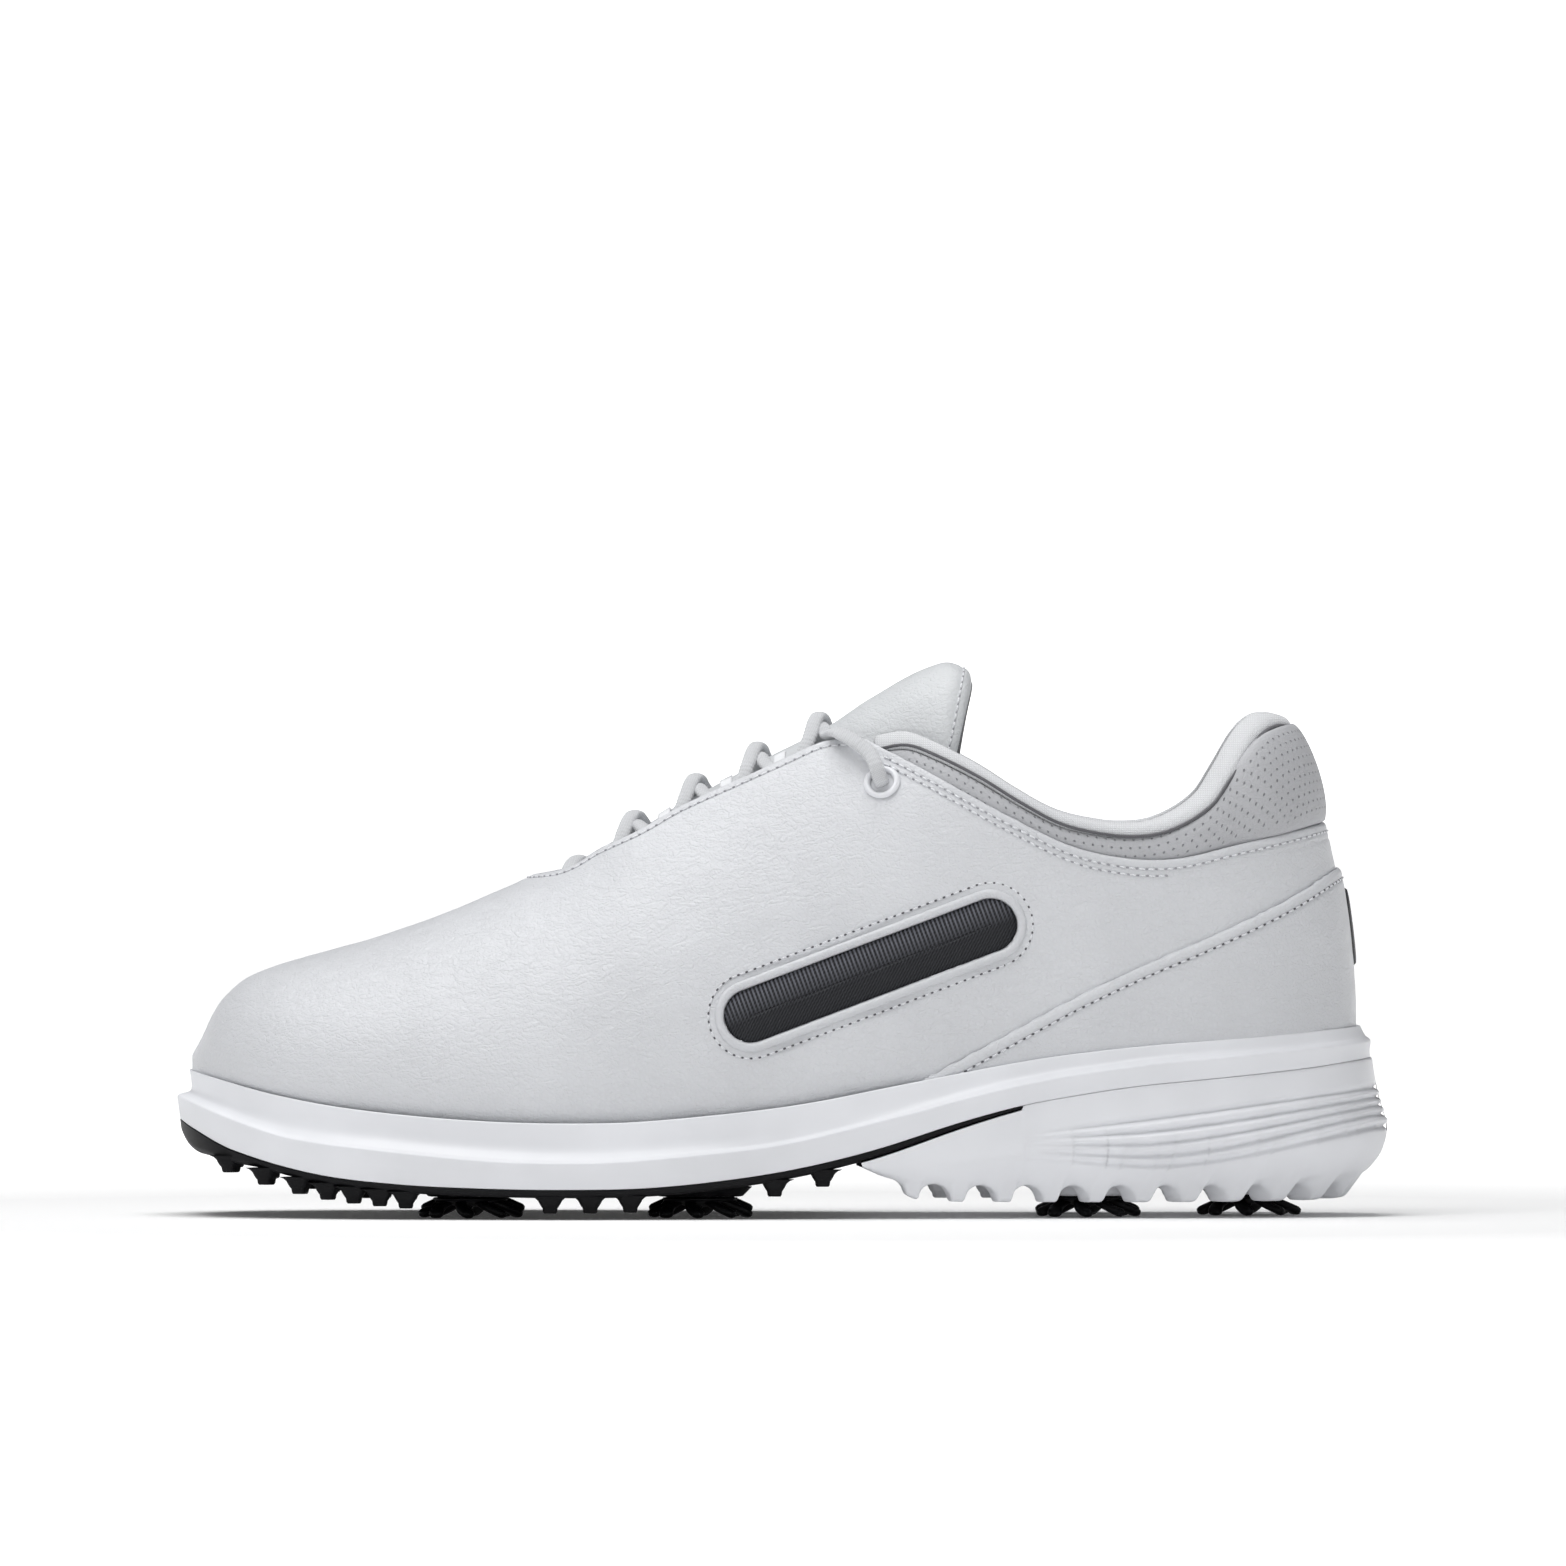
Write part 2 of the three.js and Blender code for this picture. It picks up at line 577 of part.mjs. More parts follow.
function eyeletFrame(side) {
  // A place and directions for the eyelet: w points out of the leather.
  const at = new THREE.Vector3(...onWall(EYELET.x, EYELET.z, 0, side));
  const along = new THREE.Vector3(...onWall(EYELET.x + 2, EYELET.z, 0, side)).sub(at);
  const up = new THREE.Vector3(...onWall(EYELET.x, EYELET.z + 2, 0, side)).sub(at);
  const w = new THREE.Vector3().crossVectors(along, up).multiplyScalar(-side).normalize();
  const u = along.normalize();
  const v = new THREE.Vector3().crossVectors(w, u);
  return { at, u, v, w, matrix: new THREE.Matrix4().makeBasis(u, v, w).setPosition(at) };
}

function ovalTube(side, rx, ry, low, high, holeX = 0, holeY = 0) {
  const shape = new THREE.Shape();
  shape.absellipse(0, 0, rx, ry, 0, Math.PI * 2);
  if (holeX > 0) {
    const hole = new THREE.Path();
    hole.absellipse(0, 0, holeX, holeY, 0, Math.PI * 2);
    shape.holes.push(hole);
  }
  const geometry = new THREE.ExtrudeGeometry(shape, {
    depth: high - low, bevelEnabled: false, steps: 1, curveSegments: 7,
  });
  geometry.translate(0, 0, low);
  geometry.applyMatrix4(eyeletFrame(side).matrix);
  return solid(geometry);
}

const eyeletHoles = wasm.Manifold.union([-1, 1].map((side) => ovalTube(side, 4.1, 3.8, -9, 6)));

function vampQuarter() {
  const windows = wasm.Manifold.union([
    sidePrism(sideBar(0), -100, -12), sidePrism(sideBar(0), 12, 100)]);
  return layer(LEATHER).subtract(throatCut).subtract(quarterCut(0)).subtract(windows).subtract(eyeletHoles)
    .subtract(planPrism(inset(13, 20), -10, 45).intersect(
      sidePrism([[-160, -10], ...follow(feather, -160, 160, 32, 3), [160, -10]])));
}

function heelOverlay() {
  const region = sidePrism([
    ...follow(overlayEdge, 35, 146, 10), [180, 91], [180, 48], ...follow(feather, 35, 160, 10, 0.1).reverse()]);
  return layer(OVERLAY).intersect(region);
}

function heelPatch() {
  const region = sidePrism([[120, 63], [180, 63], [180, 82], [120, 82]], -5, 4);
  return layer([-2.7, -1.8]).intersect(region);
}

function sideInlay(side) {
  const [low, high] = side < 0 ? [-100, -12] : [12, 100];
  const raised = layer([0.4, 2.0]).intersect(sidePrism(sideBar(-GAP), low, high));
  const flange = layer(BACKING).intersect(sidePrism(sideBar(4), low, high));
  return raised.add(flange);
}

function toePuff() {
  return layer(BACKING).intersect(aboveFloor(LINING_FOOT))
    .intersect(sidePrism([[-160, 0], [-112, 0], [-104, 100], [-160, 100]]));
}

function heelCounter() {
  const lower = follow(feather, 76, 160, 8, LINING_FOOT);
  const upper = follow(quarterEdge, 76, 145, 6, -8.6).reverse();
  return layer(BACKING).intersect(sidePrism([[72, 46], ...lower, [180, 60], [180, 91], ...upper, [70, 70]]));
}

// The first pair of loops stands clear of the quarter lining's front edge.
const loopPlaces = CROSSINGS.slice(0, 4).map((x, k) => (x + CROSSINGS[k + 1]) / 2 - (k === 0 ? 2.1 : 0));

function loopSlots() {
  // Notches in the eyestay reinforcements that the webbing tails lie in.
  return wasm.Manifold.union(loopPlaces.flatMap((x) => [-1, 1].map((side) => {
    const [near, far] = [x - LOOP_WIDTH / 2 - GAP, x + LOOP_WIDTH / 2 + GAP];
    const inner = crestShift(x);
    const outer = throatSide(x, side) + side * (LOOP_TAIL + 1);
    return planPrism([[near, inner], [far, inner], [far, outer], [near, outer]], 60, 220);
  })));
}

function eyestayReinforcement(side) {
  const [low, high] = side < 0 ? [-100, 1] : [1, 100];
  const top = follow(eyestayEdge, -54, 21, 8, -0.8);
  const rear = follow(quarterEdge, 22, 33, 2, -8);
  const bottom = follow(eyestayEdge, -50, 21, 6, -19).reverse();
  const region = sidePrism([...top, ...rear, [34, 98], ...bottom], low, high);
  return layer(BACKING).intersect(region).subtract(eyeletHoles).subtract(loopSlots()).subtract(throatCut);
}

function collarPanel() {
  const above = quarterCut(-7);
  return layer(BACKING).intersect(above).subtract(toplineCut(-5)).subtract(eyeletHoles)
    .subtract(sidePrism([[0, 0], [27, 0], [27, 200], [0, 200]]));
}

function collarFoam() {
  const region = sidePrism([[57, 74], [180, 74], [180, 200], [57, 200]]);
  return surface(LINING[0]).subtract(surface(LINING[0] - GAP, swell)).intersect(region).subtract(toplineCut(-6.4));
}

function quarterSplit(shift) {
  // The line where the collar lining hands over to the quarter lining.
  return sidePrism([[27, 108 + shift], [50, 82 + shift], [64, 74 + shift], [180, 74 + shift], [180, 220], [27, 220]]);
}

function toplineRoll() {
  // The lining's rolled edge: a padded bead that runs along the topline and round the heel.
  const stations = [23.4, 27, 32, 38, 44, 50, 56, 62, 70, 78, 86, 94, 101, 107, 112, 117, 122, 127, 132, 136.5, 140,
    141.8];
  const ringAt = (x, side) => {
    let z = topline(x);
    for (let pass = 0; pass < 8; pass += 1) {
      z = topline(onWall(x, z - 2.4, BACKING[0], side)[0]);
    }
    const padding = swell(x, z);
    const width = (LINING[1] + padding - BACKING[0]) / 2;
    const centre = BACKING[0] + width;
    return Array.from({ length: 8 }, (_, k) => {
      const angle = (Math.PI * 2 * (k + 0.5)) / 8;
      return onWall(x, z - 2.35 + 2.35 * Math.sin(angle), centre + width * Math.cos(angle), side);
    });
  };
  const lateral = stations.map((x) => ringAt(x, -1));
  const medial = stations.map((x) => ringAt(x, 1)).reverse();
  return loft([...lateral, ...medial]);
}

function collarLining() {
  const sheet = layer(LINING, swell).intersect(quarterSplit(GAP)).subtract(toplineCut(-2.6)).subtract(eyeletHoles);
  return largest(sheet).add(toplineRoll());
}

function quarterLining() {
  const front = sidePrism([[-22, 0], [200, 0], [200, 220], [-22, 220]]);
  return layer(LINING, swell).intersect(front).intersect(aboveFloor(LINING_FOOT)).subtract(throatCut)
    .subtract(quarterSplit(0)).subtract(toplineCut(-5.4)).subtract(eyeletHoles);
}

function vampLining() {
  const front = sidePrism([[-200, 0], [-22 - GAP, 0], [-22 - GAP, 220], [-200, 220]]);
  return layer(LINING, swell).intersect(front).intersect(aboveFloor(LINING_FOOT)).subtract(throatCut);
}

// ---------------------------------------------------------------- tongue

const tongueHalf = through([-70, 13], [-60, 17], [-40, 20], [-10, 21], [8, 20], [18, 17.2], [29, 17.2], [37, 20],
  [41, 21], [46, 19]);

function tongueLayer(depths) {
  const stations = bunched(-70, 46, 18);
  const outline = [
    ...stations.map((x) => [x, crestShift(x) - tongueHalf(x)]),
    [47.6, 0],
    ...stations.reverse().map((x) => [x, crestShift(x) + tongueHalf(x)])];
  return layer(depths).intersect(planPrism(outline, 64, 200));
}

// ---------------------------------------------------------------- lacing

function besideEdge(x, side) {
  // The lace's middle where it runs along the eyestay edge, through the webbing loops.
  const y = throatSide(x, side) - side * 4;
  return [x, y, onCrown(x, y, 4.7)];
}

function overTongue(x, across, lift) {
  // A point of a strand on its way over the tongue: at its crown when across is 0.
  const y = crestShift(x) + across;
  return [x, y, onCrown(x, y, TONGUE_SHELL[0] - LACE.thick - CROSSING.clear) + lift];
}

function overEyelet(side) {
  // From over the tongue, down the outside of the leather, and in through the eyelet.
  const { at, u, v, w } = eyeletFrame(side);
  const off = (a, b, c) => at.clone().addScaledVector(u, a).addScaledVector(v, -side * b)
    .addScaledVector(w, c).toArray();
  return [onWall(13.4, 121.3, -4.6, side), off(-3, 6.4, 3.6), off(-0.7, 2.2, 3.8), off(0, 0.1, 1.9), off(0, 0, 0.6)];
}

function strand(first, upperFirst) {
  // One strand from the top crossing down to the bottom one, along the first side's edge and then the other's.
  return CROSSINGS.flatMap((x, k) => {
    const side = k % 2 === 0 ? first : -first;
    const lift = (k % 2 === 0) === upperFirst ? 2 * LACE.thick + GAP : 0;
    const below = CROSSINGS[k + 1];
    const runs = below === undefined ? [besideEdge(LACE_BAR_X + 2.6, side)]
      : [besideEdge(x - CROSSING_REACH, side), besideEdge(below + CROSSING_REACH, side)];
    const over = CROSSING.across.map((across) => overTongue(
      x - across * CROSSING.slant, side * across, lift * (1 - CROSSING.fall * (across / CROSSING.across[4]) ** 2)));
    return [...over, ...runs];
  });
}

function laceRoute() {
  const down = [...overEyelet(-1).reverse(), ...strand(1, false)];
  const back = [...overEyelet(1).reverse(), ...strand(-1, true)];
  return [...down, overTongue(LACE_BAR_X, 0, 0), ...back.reverse()];
}

function laceAlong(points) {
  // A lace of oval section, with a ring at each point and its flat side towards the foot.
  const path = points.map((p) => new THREE.Vector3(...p));
  const rings = path.map((at, i) => {
    const tangent = path[Math.min(i + 1, path.length - 1)].clone().sub(path[Math.max(i - 1, 0)]).normalize();
    const inside = new THREE.Vector3(at.x, crestShift(at.x), crest(at.x) - LACE_FACES);
    const across = new THREE.Vector3().crossVectors(tangent, at.clone().sub(inside)).normalize();
    const out = new THREE.Vector3().crossVectors(across, tangent);
    return Array.from({ length: 8 }, (_, k) => {
      const angle = (Math.PI * 2 * (k + 0.5)) / 8;
      return at.clone().addScaledVector(across, LACE.wide * Math.cos(angle))
        .addScaledVector(out, LACE.thick * Math.sin(angle)).toArray();
    });
  });
  return loft(rings);
}

function laceEndRoute(side) {
  // The tucked end: down the inside wall from the eyelet, then forward along the edge of the sockliner.
  const { at, w } = eyeletFrame(side);
  const inside = (c) => at.clone().addScaledVector(w, c).toArray();
  const wall = (x, z) => onWall(x, z, LINING[1] + LACE.wide + 0.8, side, swell);
  const bed = (x, edge) => [x, middle(x) + side * (upperWidth(x) - edge), feather(x) + SOCKLINER[1] + LACE.wide + 0.7];
  return [
    inside(0.1), inside(-2.4), inside(-5.2), wall(26.5, 101), wall(28, 91), wall(29, 78), wall(28, 64), wall(24, 52),
    bed(14, 10.2), bed(0, 10.2), bed(-16, 10.2), bed(-34, 10.4), bed(-52, 11), bed(-68, 12), bed(-80, 14),
    bed(-86, 20), bed(-80, 26), bed(-66, 27), bed(-50, 27)];
}

function aglet(side) {
  const route = laceEndRoute(side).map((p) => new THREE.Vector3(...p));
  const end = route[route.length - 1];
  const direction = end.clone().sub(route[route.length - 2]).normalize();
  const rod = new THREE.CylinderGeometry(1.5, 1.5, 20, 10);
  rod.translate(0, 10 + GAP, 0);
  rod.applyQuaternion(new THREE.Quaternion().setFromUnitVectors(new THREE.Vector3(0, 1, 0), direction));
  rod.translate(end.x, end.y, end.z);
  return solid(rod);
}

function laceLoop(x, side) {
  // A webbing band: its tail lies between leather and lining, and it comes out to wrap the lace.
  const at = (out, depth, along = 0) => {
    const y = throatSide(x + along, side) + side * out;
    return [y, onCrown(x + along, y, depth)];
  };
  const outline = [[LOOP_TAIL, 2.2], [0, 2.2], [-1.6, 2.5], [-4, 2.5], [-8.4, 2.4], [-8.4, 7], [-4, 7], [-1.2, 7],
    [-1.2, 3.1], [-0.4, 2.75], [LOOP_TAIL, 2.75]];
  const hole = [[-7.9, 2.85], [-4, 2.95], [-1.7, 2.95], [-1.7, 6.55], [-4, 6.55], [-7.9, 6.55]];
  const shape = outlineShape(outline.map(([out, depth]) => at(out, depth)));
  shape.holes.push(new THREE.Path(hole.map(([out, depth]) => new THREE.Vector2(...at(out, depth)))));
  const geometry = new THREE.ExtrudeGeometry(shape, { depth: LOOP_WIDTH, bevelEnabled: false, steps: 1 });
  const [drift, climb] = [0, 1].map((k) => (at(0, 3, 1)[k] - at(0, 3, -1)[k]) / 2);
  geometry.translate(0, 0, -LOOP_WIDTH / 2);
  geometry.applyMatrix4(new THREE.Matrix4().set(0, 0, 1, x, 1, 0, drift, 0, 0, 1, climb, 0, 0, 0, 0, 1));
  return solid(geometry);
}

// ---------------------------------------------------------------- assembly

add('midsole', midsole(), materials.whiteMoulding);
add('forefoot_outsole_plate', plate(), materials.blackMoulding);
add('heel_outsole', heelPiece(), materials.whiteMoulding);
for (const at of SPIKES) {
  add(`receptacle_${at.name}`, receptacle(at), materials.blackMoulding);
  add(`spike_${at.name}`, spike(at), materials.blackMoulding);
}
add('arch_shank', shank(), materials.shank);
add('strobel_board', slabUnderFoot(BOARD, 5.4), materials.board);
add('sockliner', slabUnderFoot(SOCKLINER, 6.6), materials.textile);
add('vamp_quarter', vampQuarter(), materials.leather);
add('heel_overlay', heelOverlay(), materials.leather);
add('heel_patch', heelPatch(), materials.inlay);
add('side_inlay_lateral', sideInlay(-1), materials.inlay);
add('side_inlay_medial', sideInlay(1), materials.inlay);
add('toe_puff', toePuff(), materials.board);
add('heel_counter', heelCounter(), materials.board);
add('eyestay_reinforcement_lateral', eyestayReinforcement(-1), materials.board);
add('eyestay_reinforcement_medial', eyestayReinforcement(1), materials.board);
add('collar_panel', collarPanel(), materials.leather);
add('collar_foam', collarFoam(), materials.foam);
add('collar_lining', collarLining(), materials.textile);
add('quarter_lining', quarterLining(), materials.textile);
add('vamp_lining', vampLining(), materials.textile);
add('tongue_shell', tongueLayer(TONGUE_SHELL), materials.leather);
add('tongue_foam', tongueLayer(TONGUE_FOAM), materials.foam);
add('tongue_lining', tongueLayer(TONGUE_LINING), materials.textile);
for (const [side, word] of [[-1, 'lateral'], [1, 'medial']]) {
  const rim = ovalTube(side, 4.8, 4.4, GAP, 1.3, 3, 2.8);
  const barrel = ovalTube(side, 3.8, 3.5, -3.2, 0.8, 3, 2.8);
  add(`eyelet_${word}`, rim.add(barrel), materials.eyelet);
  loopPlaces.forEach((x, k) => add(`lace_loop_${word}_${k + 1}`, laceLoop(x, side), materials.textile));
  add(`lace_end_${word}`, laceAlong(laceEndRoute(side)), materials.lace);
  add(`aglet_${word}`, aglet(side), materials.eyelet);
}
add('lace', laceAlong(laceRoute()), materials.lace);

export default shoe;
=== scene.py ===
# Looks of a left golf shoe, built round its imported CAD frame. Row frame: -X toe, -Y outer side, +Z up.
# Shapes are worked out in millimetres and made in metres.
import math
import bmesh
import bpy
import numpy as np
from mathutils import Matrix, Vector


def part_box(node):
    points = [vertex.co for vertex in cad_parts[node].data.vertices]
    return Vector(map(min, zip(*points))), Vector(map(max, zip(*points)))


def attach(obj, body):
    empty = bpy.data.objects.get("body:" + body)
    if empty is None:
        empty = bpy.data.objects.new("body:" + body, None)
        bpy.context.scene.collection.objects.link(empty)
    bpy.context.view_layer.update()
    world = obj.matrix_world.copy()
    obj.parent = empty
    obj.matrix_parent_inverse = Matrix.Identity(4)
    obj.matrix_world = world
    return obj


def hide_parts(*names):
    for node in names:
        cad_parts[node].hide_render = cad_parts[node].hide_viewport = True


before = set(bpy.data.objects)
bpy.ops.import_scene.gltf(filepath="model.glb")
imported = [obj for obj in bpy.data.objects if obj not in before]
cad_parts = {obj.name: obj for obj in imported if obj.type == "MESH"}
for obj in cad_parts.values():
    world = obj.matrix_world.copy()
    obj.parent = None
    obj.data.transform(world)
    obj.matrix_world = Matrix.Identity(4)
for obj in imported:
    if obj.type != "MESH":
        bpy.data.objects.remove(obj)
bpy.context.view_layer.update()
MM = 0.001


def box_mm(node):
    low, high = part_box(node)
    return np.array(low) / MM, np.array(high) / MM


TOE_END = box_mm("midsole")[0][0]
LENGTH = box_mm("heel_outsole")[1][0] - TOE_END

# The upper's outer surface, the same as the CAD's: ends, and where the rounded toe and heel begin.
UPPER_TOE = -148.4
UPPER_HEEL = 142.6
TOE_ROUND_FROM = -95.0
HEEL_ROUND_FROM = 95.0
TOE_ROUNDNESS = 2.2
HEEL_ROUNDNESS = 2.3
UPPER_MIDDLE = (UPPER_TOE + UPPER_HEEL) / 2
UPPER_HALF = (UPPER_HEEL - UPPER_TOE) / 2
THROAT_FRONT = -62.0
THROAT_BACK = 21.6
THROAT_ROUND_FROM = -55.0
COLLAR_SWELL = 3.6
LINING_DEPTH = 3.0
TONGUE_DEPTH = 7.6
LATERAL = -1
MEDIAL = 1
SIDES = (LATERAL, MEDIAL)
SIDE_WORDS = {LATERAL: "lateral", MEDIAL: "medial"}


# ---------------------------------------------------------------- lines of the shoe


def through(*points):
    """A smooth function through the points, level beyond its ends."""
    xs = np.array([p[0] for p in points], float)
    ys = np.array([p[1] for p in points], float)
    before = np.maximum(np.arange(len(xs)) - 1, 0)
    after = np.minimum(np.arange(len(xs)) + 1, len(xs) - 1)
    slopes = (ys[after] - ys[before]) / (xs[after] - xs[before])

    def line(x):
        x = np.clip(np.asarray(x, float), xs[0], xs[-1])
        i = np.clip(np.searchsorted(xs, x, side="right") - 1, 0, len(xs) - 2)
        span = xs[i + 1] - xs[i]
        t = (x - xs[i]) / span
        rise = t * t * (3 - 2 * t)
        bend = slopes[i] * t * (1 - t) ** 2 - slopes[i + 1] * t * t * (1 - t)
        return ys[i] * (1 - rise) + ys[i + 1] * rise + span * bend

    return line


def ease(value, start, end):
    t = np.clip((np.asarray(value, float) - start) / (end - start), 0, 1)
    return t * t * (3 - 2 * t)


def round_end(x, start, end, power):
    t = np.clip((np.asarray(x, float) - start) / (end - start), 0, 1)
    return (1 - t ** power) ** (1 / power)


def plan_rounding(x):
    """The share of its full width that the upper has at a station, from its rounded toe and heel."""
    toe = round_end(x, TOE_ROUND_FROM, UPPER_TOE, TOE_ROUNDNESS)
    return toe * round_end(x, HEEL_ROUND_FROM, UPPER_HEEL, HEEL_ROUNDNESS)


feather = through(
    (-152, 36.6), (-146, 35.2), (-127, 30.3), (-106.6, 26.8), (-75, 24), (-44, 23.5), (-23.6, 24.8),
    (4, 28), (31.6, 33.3), (64, 39.3), (90.6, 42.5), (117, 44.5), (146, 47.2))
ridge = through(
    (-152, 29.8), (-145, 27), (-135, 23.3), (-123, 19.8), (-101.6, 17), (-71.6, 14.2), (-47.4, 13.8),
    (-29, 15), (0, 18.4), (30, 25.6), (60, 33.2), (90, 38), (117, 40.6), (152, 44))
seam = through(
    (-152, 24.8), (-148, 22.3), (-137.6, 17), (-116.9, 11.3), (-96, 8.8), (-75, 7.8), (-54.6, 7.5),
    (-34, 7.9), (-13.4, 9.9), (4, 12.7), (22.6, 17.2), (45, 24.3), (60.4, 28.4), (74.6, 31),
    (88.9, 33.1), (111.4, 35.3), (131.9, 37.5), (152, 40.4))
PLATE_THICKNESS = 2.0
plate_thickness = through((-152, 1.8), (-149.5, 4.6), (-147, 5.4), (-144, 4.5), (-137, 3.1),
                          (-130, PLATE_THICKNESS), (20, PLATE_THICKNESS), (60, 0.8))
heel_underside = through((19, 13.2), (25, 10.6), (31, 9.3), (45, 8.4), (130, 8.4), (152, 9.6))
middle = through((-152, 7), (-100, 2), (-60, 0), (-20, -1.7), (20, -4.2), (40, -4), (80, -2), (120, -0.8),
                 (152, -0.5))
sole_width = through((-152, 48), (-125, 49.5), (-100, 51.5), (-60, 55), (-20, 50), (0, 45.5), (20, 42),
                     (40, 40), (60, 39.6), (80, 40.2), (120, 41), (152, 41))
upper_width = through((-150, 44.5), (-125, 45.5), (-100, 47), (-60, 50.5), (-20, 46), (0, 42.5), (20, 39.2),
                      (40, 36.8), (60, 35), (80, 34.2), (120, 33.6), (150, 33.4))
crest = through(
    (-148.4, 40), (-145.9, 44.5), (-143.4, 50), (-140.9, 54), (-135.9, 58.6), (-130.9, 61.2),
    (-120.9, 64.6), (-100.9, 70.2), (-80.9, 77.4), (-60.9, 86.4), (-52, 92.3), (-46, 97), (-38, 103.4),
    (-22, 113), (-6.5, 121), (9, 128.6), (16, 132.6), (24, 137.2), (34, 142.8), (41.6, 145.7), (47, 146.6),
    (60, 152))
crest_shift = through((-148, 7), (-100, 4), (-60, 3), (0, 1.5), (45, 0), (80, -0.8), (150, -0.5))
squareness = through((-148, 2.15), (-100, 2.1), (-60, 1.9), (-30, 1.75), (10, 1.78), (30, 1.95),
                     (50, 2.35), (75, 3), (150, 3.1))
eyestay_edge = through(
    (-62, 84.6), (-58.5, 86), (-52.4, 88.3), (-46, 92.2), (-35.4, 97.5), (-25.9, 103), (-9.9, 110.4),
    (-1.1, 114.4), (9.6, 119.2), (15, 120.1), (21.6, 120))
topline = through(
    (21.6, 120), (30.6, 121.6), (37.6, 119.3), (49.1, 113.5), (59.1, 107.3), (69.1, 102), (79.1, 99.5),
    (88, 98.8), (96.6, 100.3), (106.6, 106.3), (111.6, 113.5), (116.6, 121.3), (120.6, 125.2), (123.7, 126.3),
    (127, 125.6), (132, 123.6))
quarter_edge = through(
    (21.6, 119.6), (36, 112), (55, 101.5), (72.6, 93), (86.9, 89.9), (99.4, 89.9), (112.9, 93),
    (126.3, 96.1), (145, 101))
overlay_edge = through(
    (29, 32), (55, 46), (72.6, 55.5), (90.6, 64), (108.4, 71.5), (126.3, 80), (139.1, 87.6), (146, 91))
tongue_half = through((-70, 13), (-60, 17), (-40, 20), (-10, 21), (8, 20), (18, 17.2), (29, 17.2), (37, 20),
                      (41, 21), (46, 19))


# ---------------------------------------------------------------- the upper's surface


def swell(x, z):
    return COLLAR_SWELL * ease(x, 40, 72) * ease(z, 62, 86)


def place(x, across, rise, depth=0.0, extra=None):
    """A point of the surface: across is -1 to 1, rise is 0 at the feather line and 1 at the crest."""
    height = crest(x) - feather(x)
    d = depth + (extra(x, feather(x) + height * rise) if extra else 0)
    x1 = UPPER_MIDDLE + (x - UPPER_MIDDLE) * (1 - d / UPPER_HALF)
    tuck = 1 - 0.05 * np.maximum(0, 1 - rise / 0.15) ** 2
    centre = middle(x) * (1 - rise) + crest_shift(x) * rise
    half = upper_width(x) * plan_rounding(x)
    y = centre + across * half * tuck * (1 - d / upper_width(x))
    z = feather(x1) + d + height * rise * (1 - 2 * d / np.maximum(height, 38))
    lean = np.maximum(0, z - 48) ** 2 / 400 * ease(x1, 60, 140)
    return np.stack(np.broadcast_arrays(x1 - lean, y, z), -1)


def skin(x, turn, side, depth=0.0, extra=None):
    """A point on one side's half: turn is 0 at the feather line and 1 at the crest."""
    angle = np.asarray(turn, float) * math.pi / 2
    power = 2 / squareness(x)
    across = side * np.abs(np.cos(angle)) ** power
    return place(x, across, np.sin(angle) ** power, depth, extra)


def turn_where(x, side, above, depth=0.0, extra=None):
    """For each station, the lowest turn at which above(points) stops being negative, or 1."""
    turns = np.linspace(0, 1, 500)
    points = skin(x[:, None], turns[None, :], side, depth, extra)
    value = above(points, x[:, None])
    found = value >= 0
    first = np.where(found.any(1), found.argmax(1), len(turns) - 1)
    first = np.maximum(first, 1)
    rows = np.arange(len(x))
    low, high = value[rows, first - 1], value[rows, first]
    share = np.where(high > low, np.clip(-low / np.where(high > low, high - low, 1), 0, 1), 1)
    return np.where(found.any(1), turns[first - 1] + share * (turns[first] - turns[first - 1]), 1.0)


def under_line(line, shift=0.0):
    """Stops a sheet where it meets a line seen from the side."""
    return lambda points, x: points[..., 2] - line(points[..., 0]) - shift


def wall_turn(x, z, side):
    return turn_where(np.atleast_1d(x), side, lambda points, at: points[..., 2] - np.atleast_1d(z)[:, None])


def throat_reach(x, side):
    """How far to the side of the crest the eyestay edge is."""
    x = np.atleast_1d(np.asarray(x, float))
    turns = wall_turn(x, eyestay_edge(x), side)
    edge = np.abs(skin(x, turns, side)[:, 1] - crest_shift(x))
    return edge * round_end(x, THROAT_ROUND_FROM, THROAT_FRONT, 2)


def throat_limit(side, shift=0.0):
    def above(points, x):
        flat = x[:, 0]
        reach = throat_reach(flat, side) + shift
        offset = np.abs(points[..., 1] - crest_shift(flat)[:, None])
        return np.where((flat >= THROAT_FRONT)[:, None], reach[:, None] - offset, -1)
    return above


def crown_height(x, y, depth=0.0):
    """The height of the surface's top at a place in plan."""
    x = np.atleast_1d(np.asarray(x, float))
    y = np.atleast_1d(np.asarray(y, float))
    station = UPPER_MIDDLE + (x - UPPER_MIDDLE) / (1 - depth / UPPER_HALF)
    power = squareness(station)
    rise = np.ones_like(x)
    for _ in range(10):
        centre = middle(station) * (1 - rise) + crest_shift(station) * rise
        share = np.clip(np.abs(y - centre) / (upper_width(station) - depth), 0, 0.999)
        rise = (1 - share ** power) ** (1 / power)
    return place(station, 0 * rise, rise, depth)[..., 2]


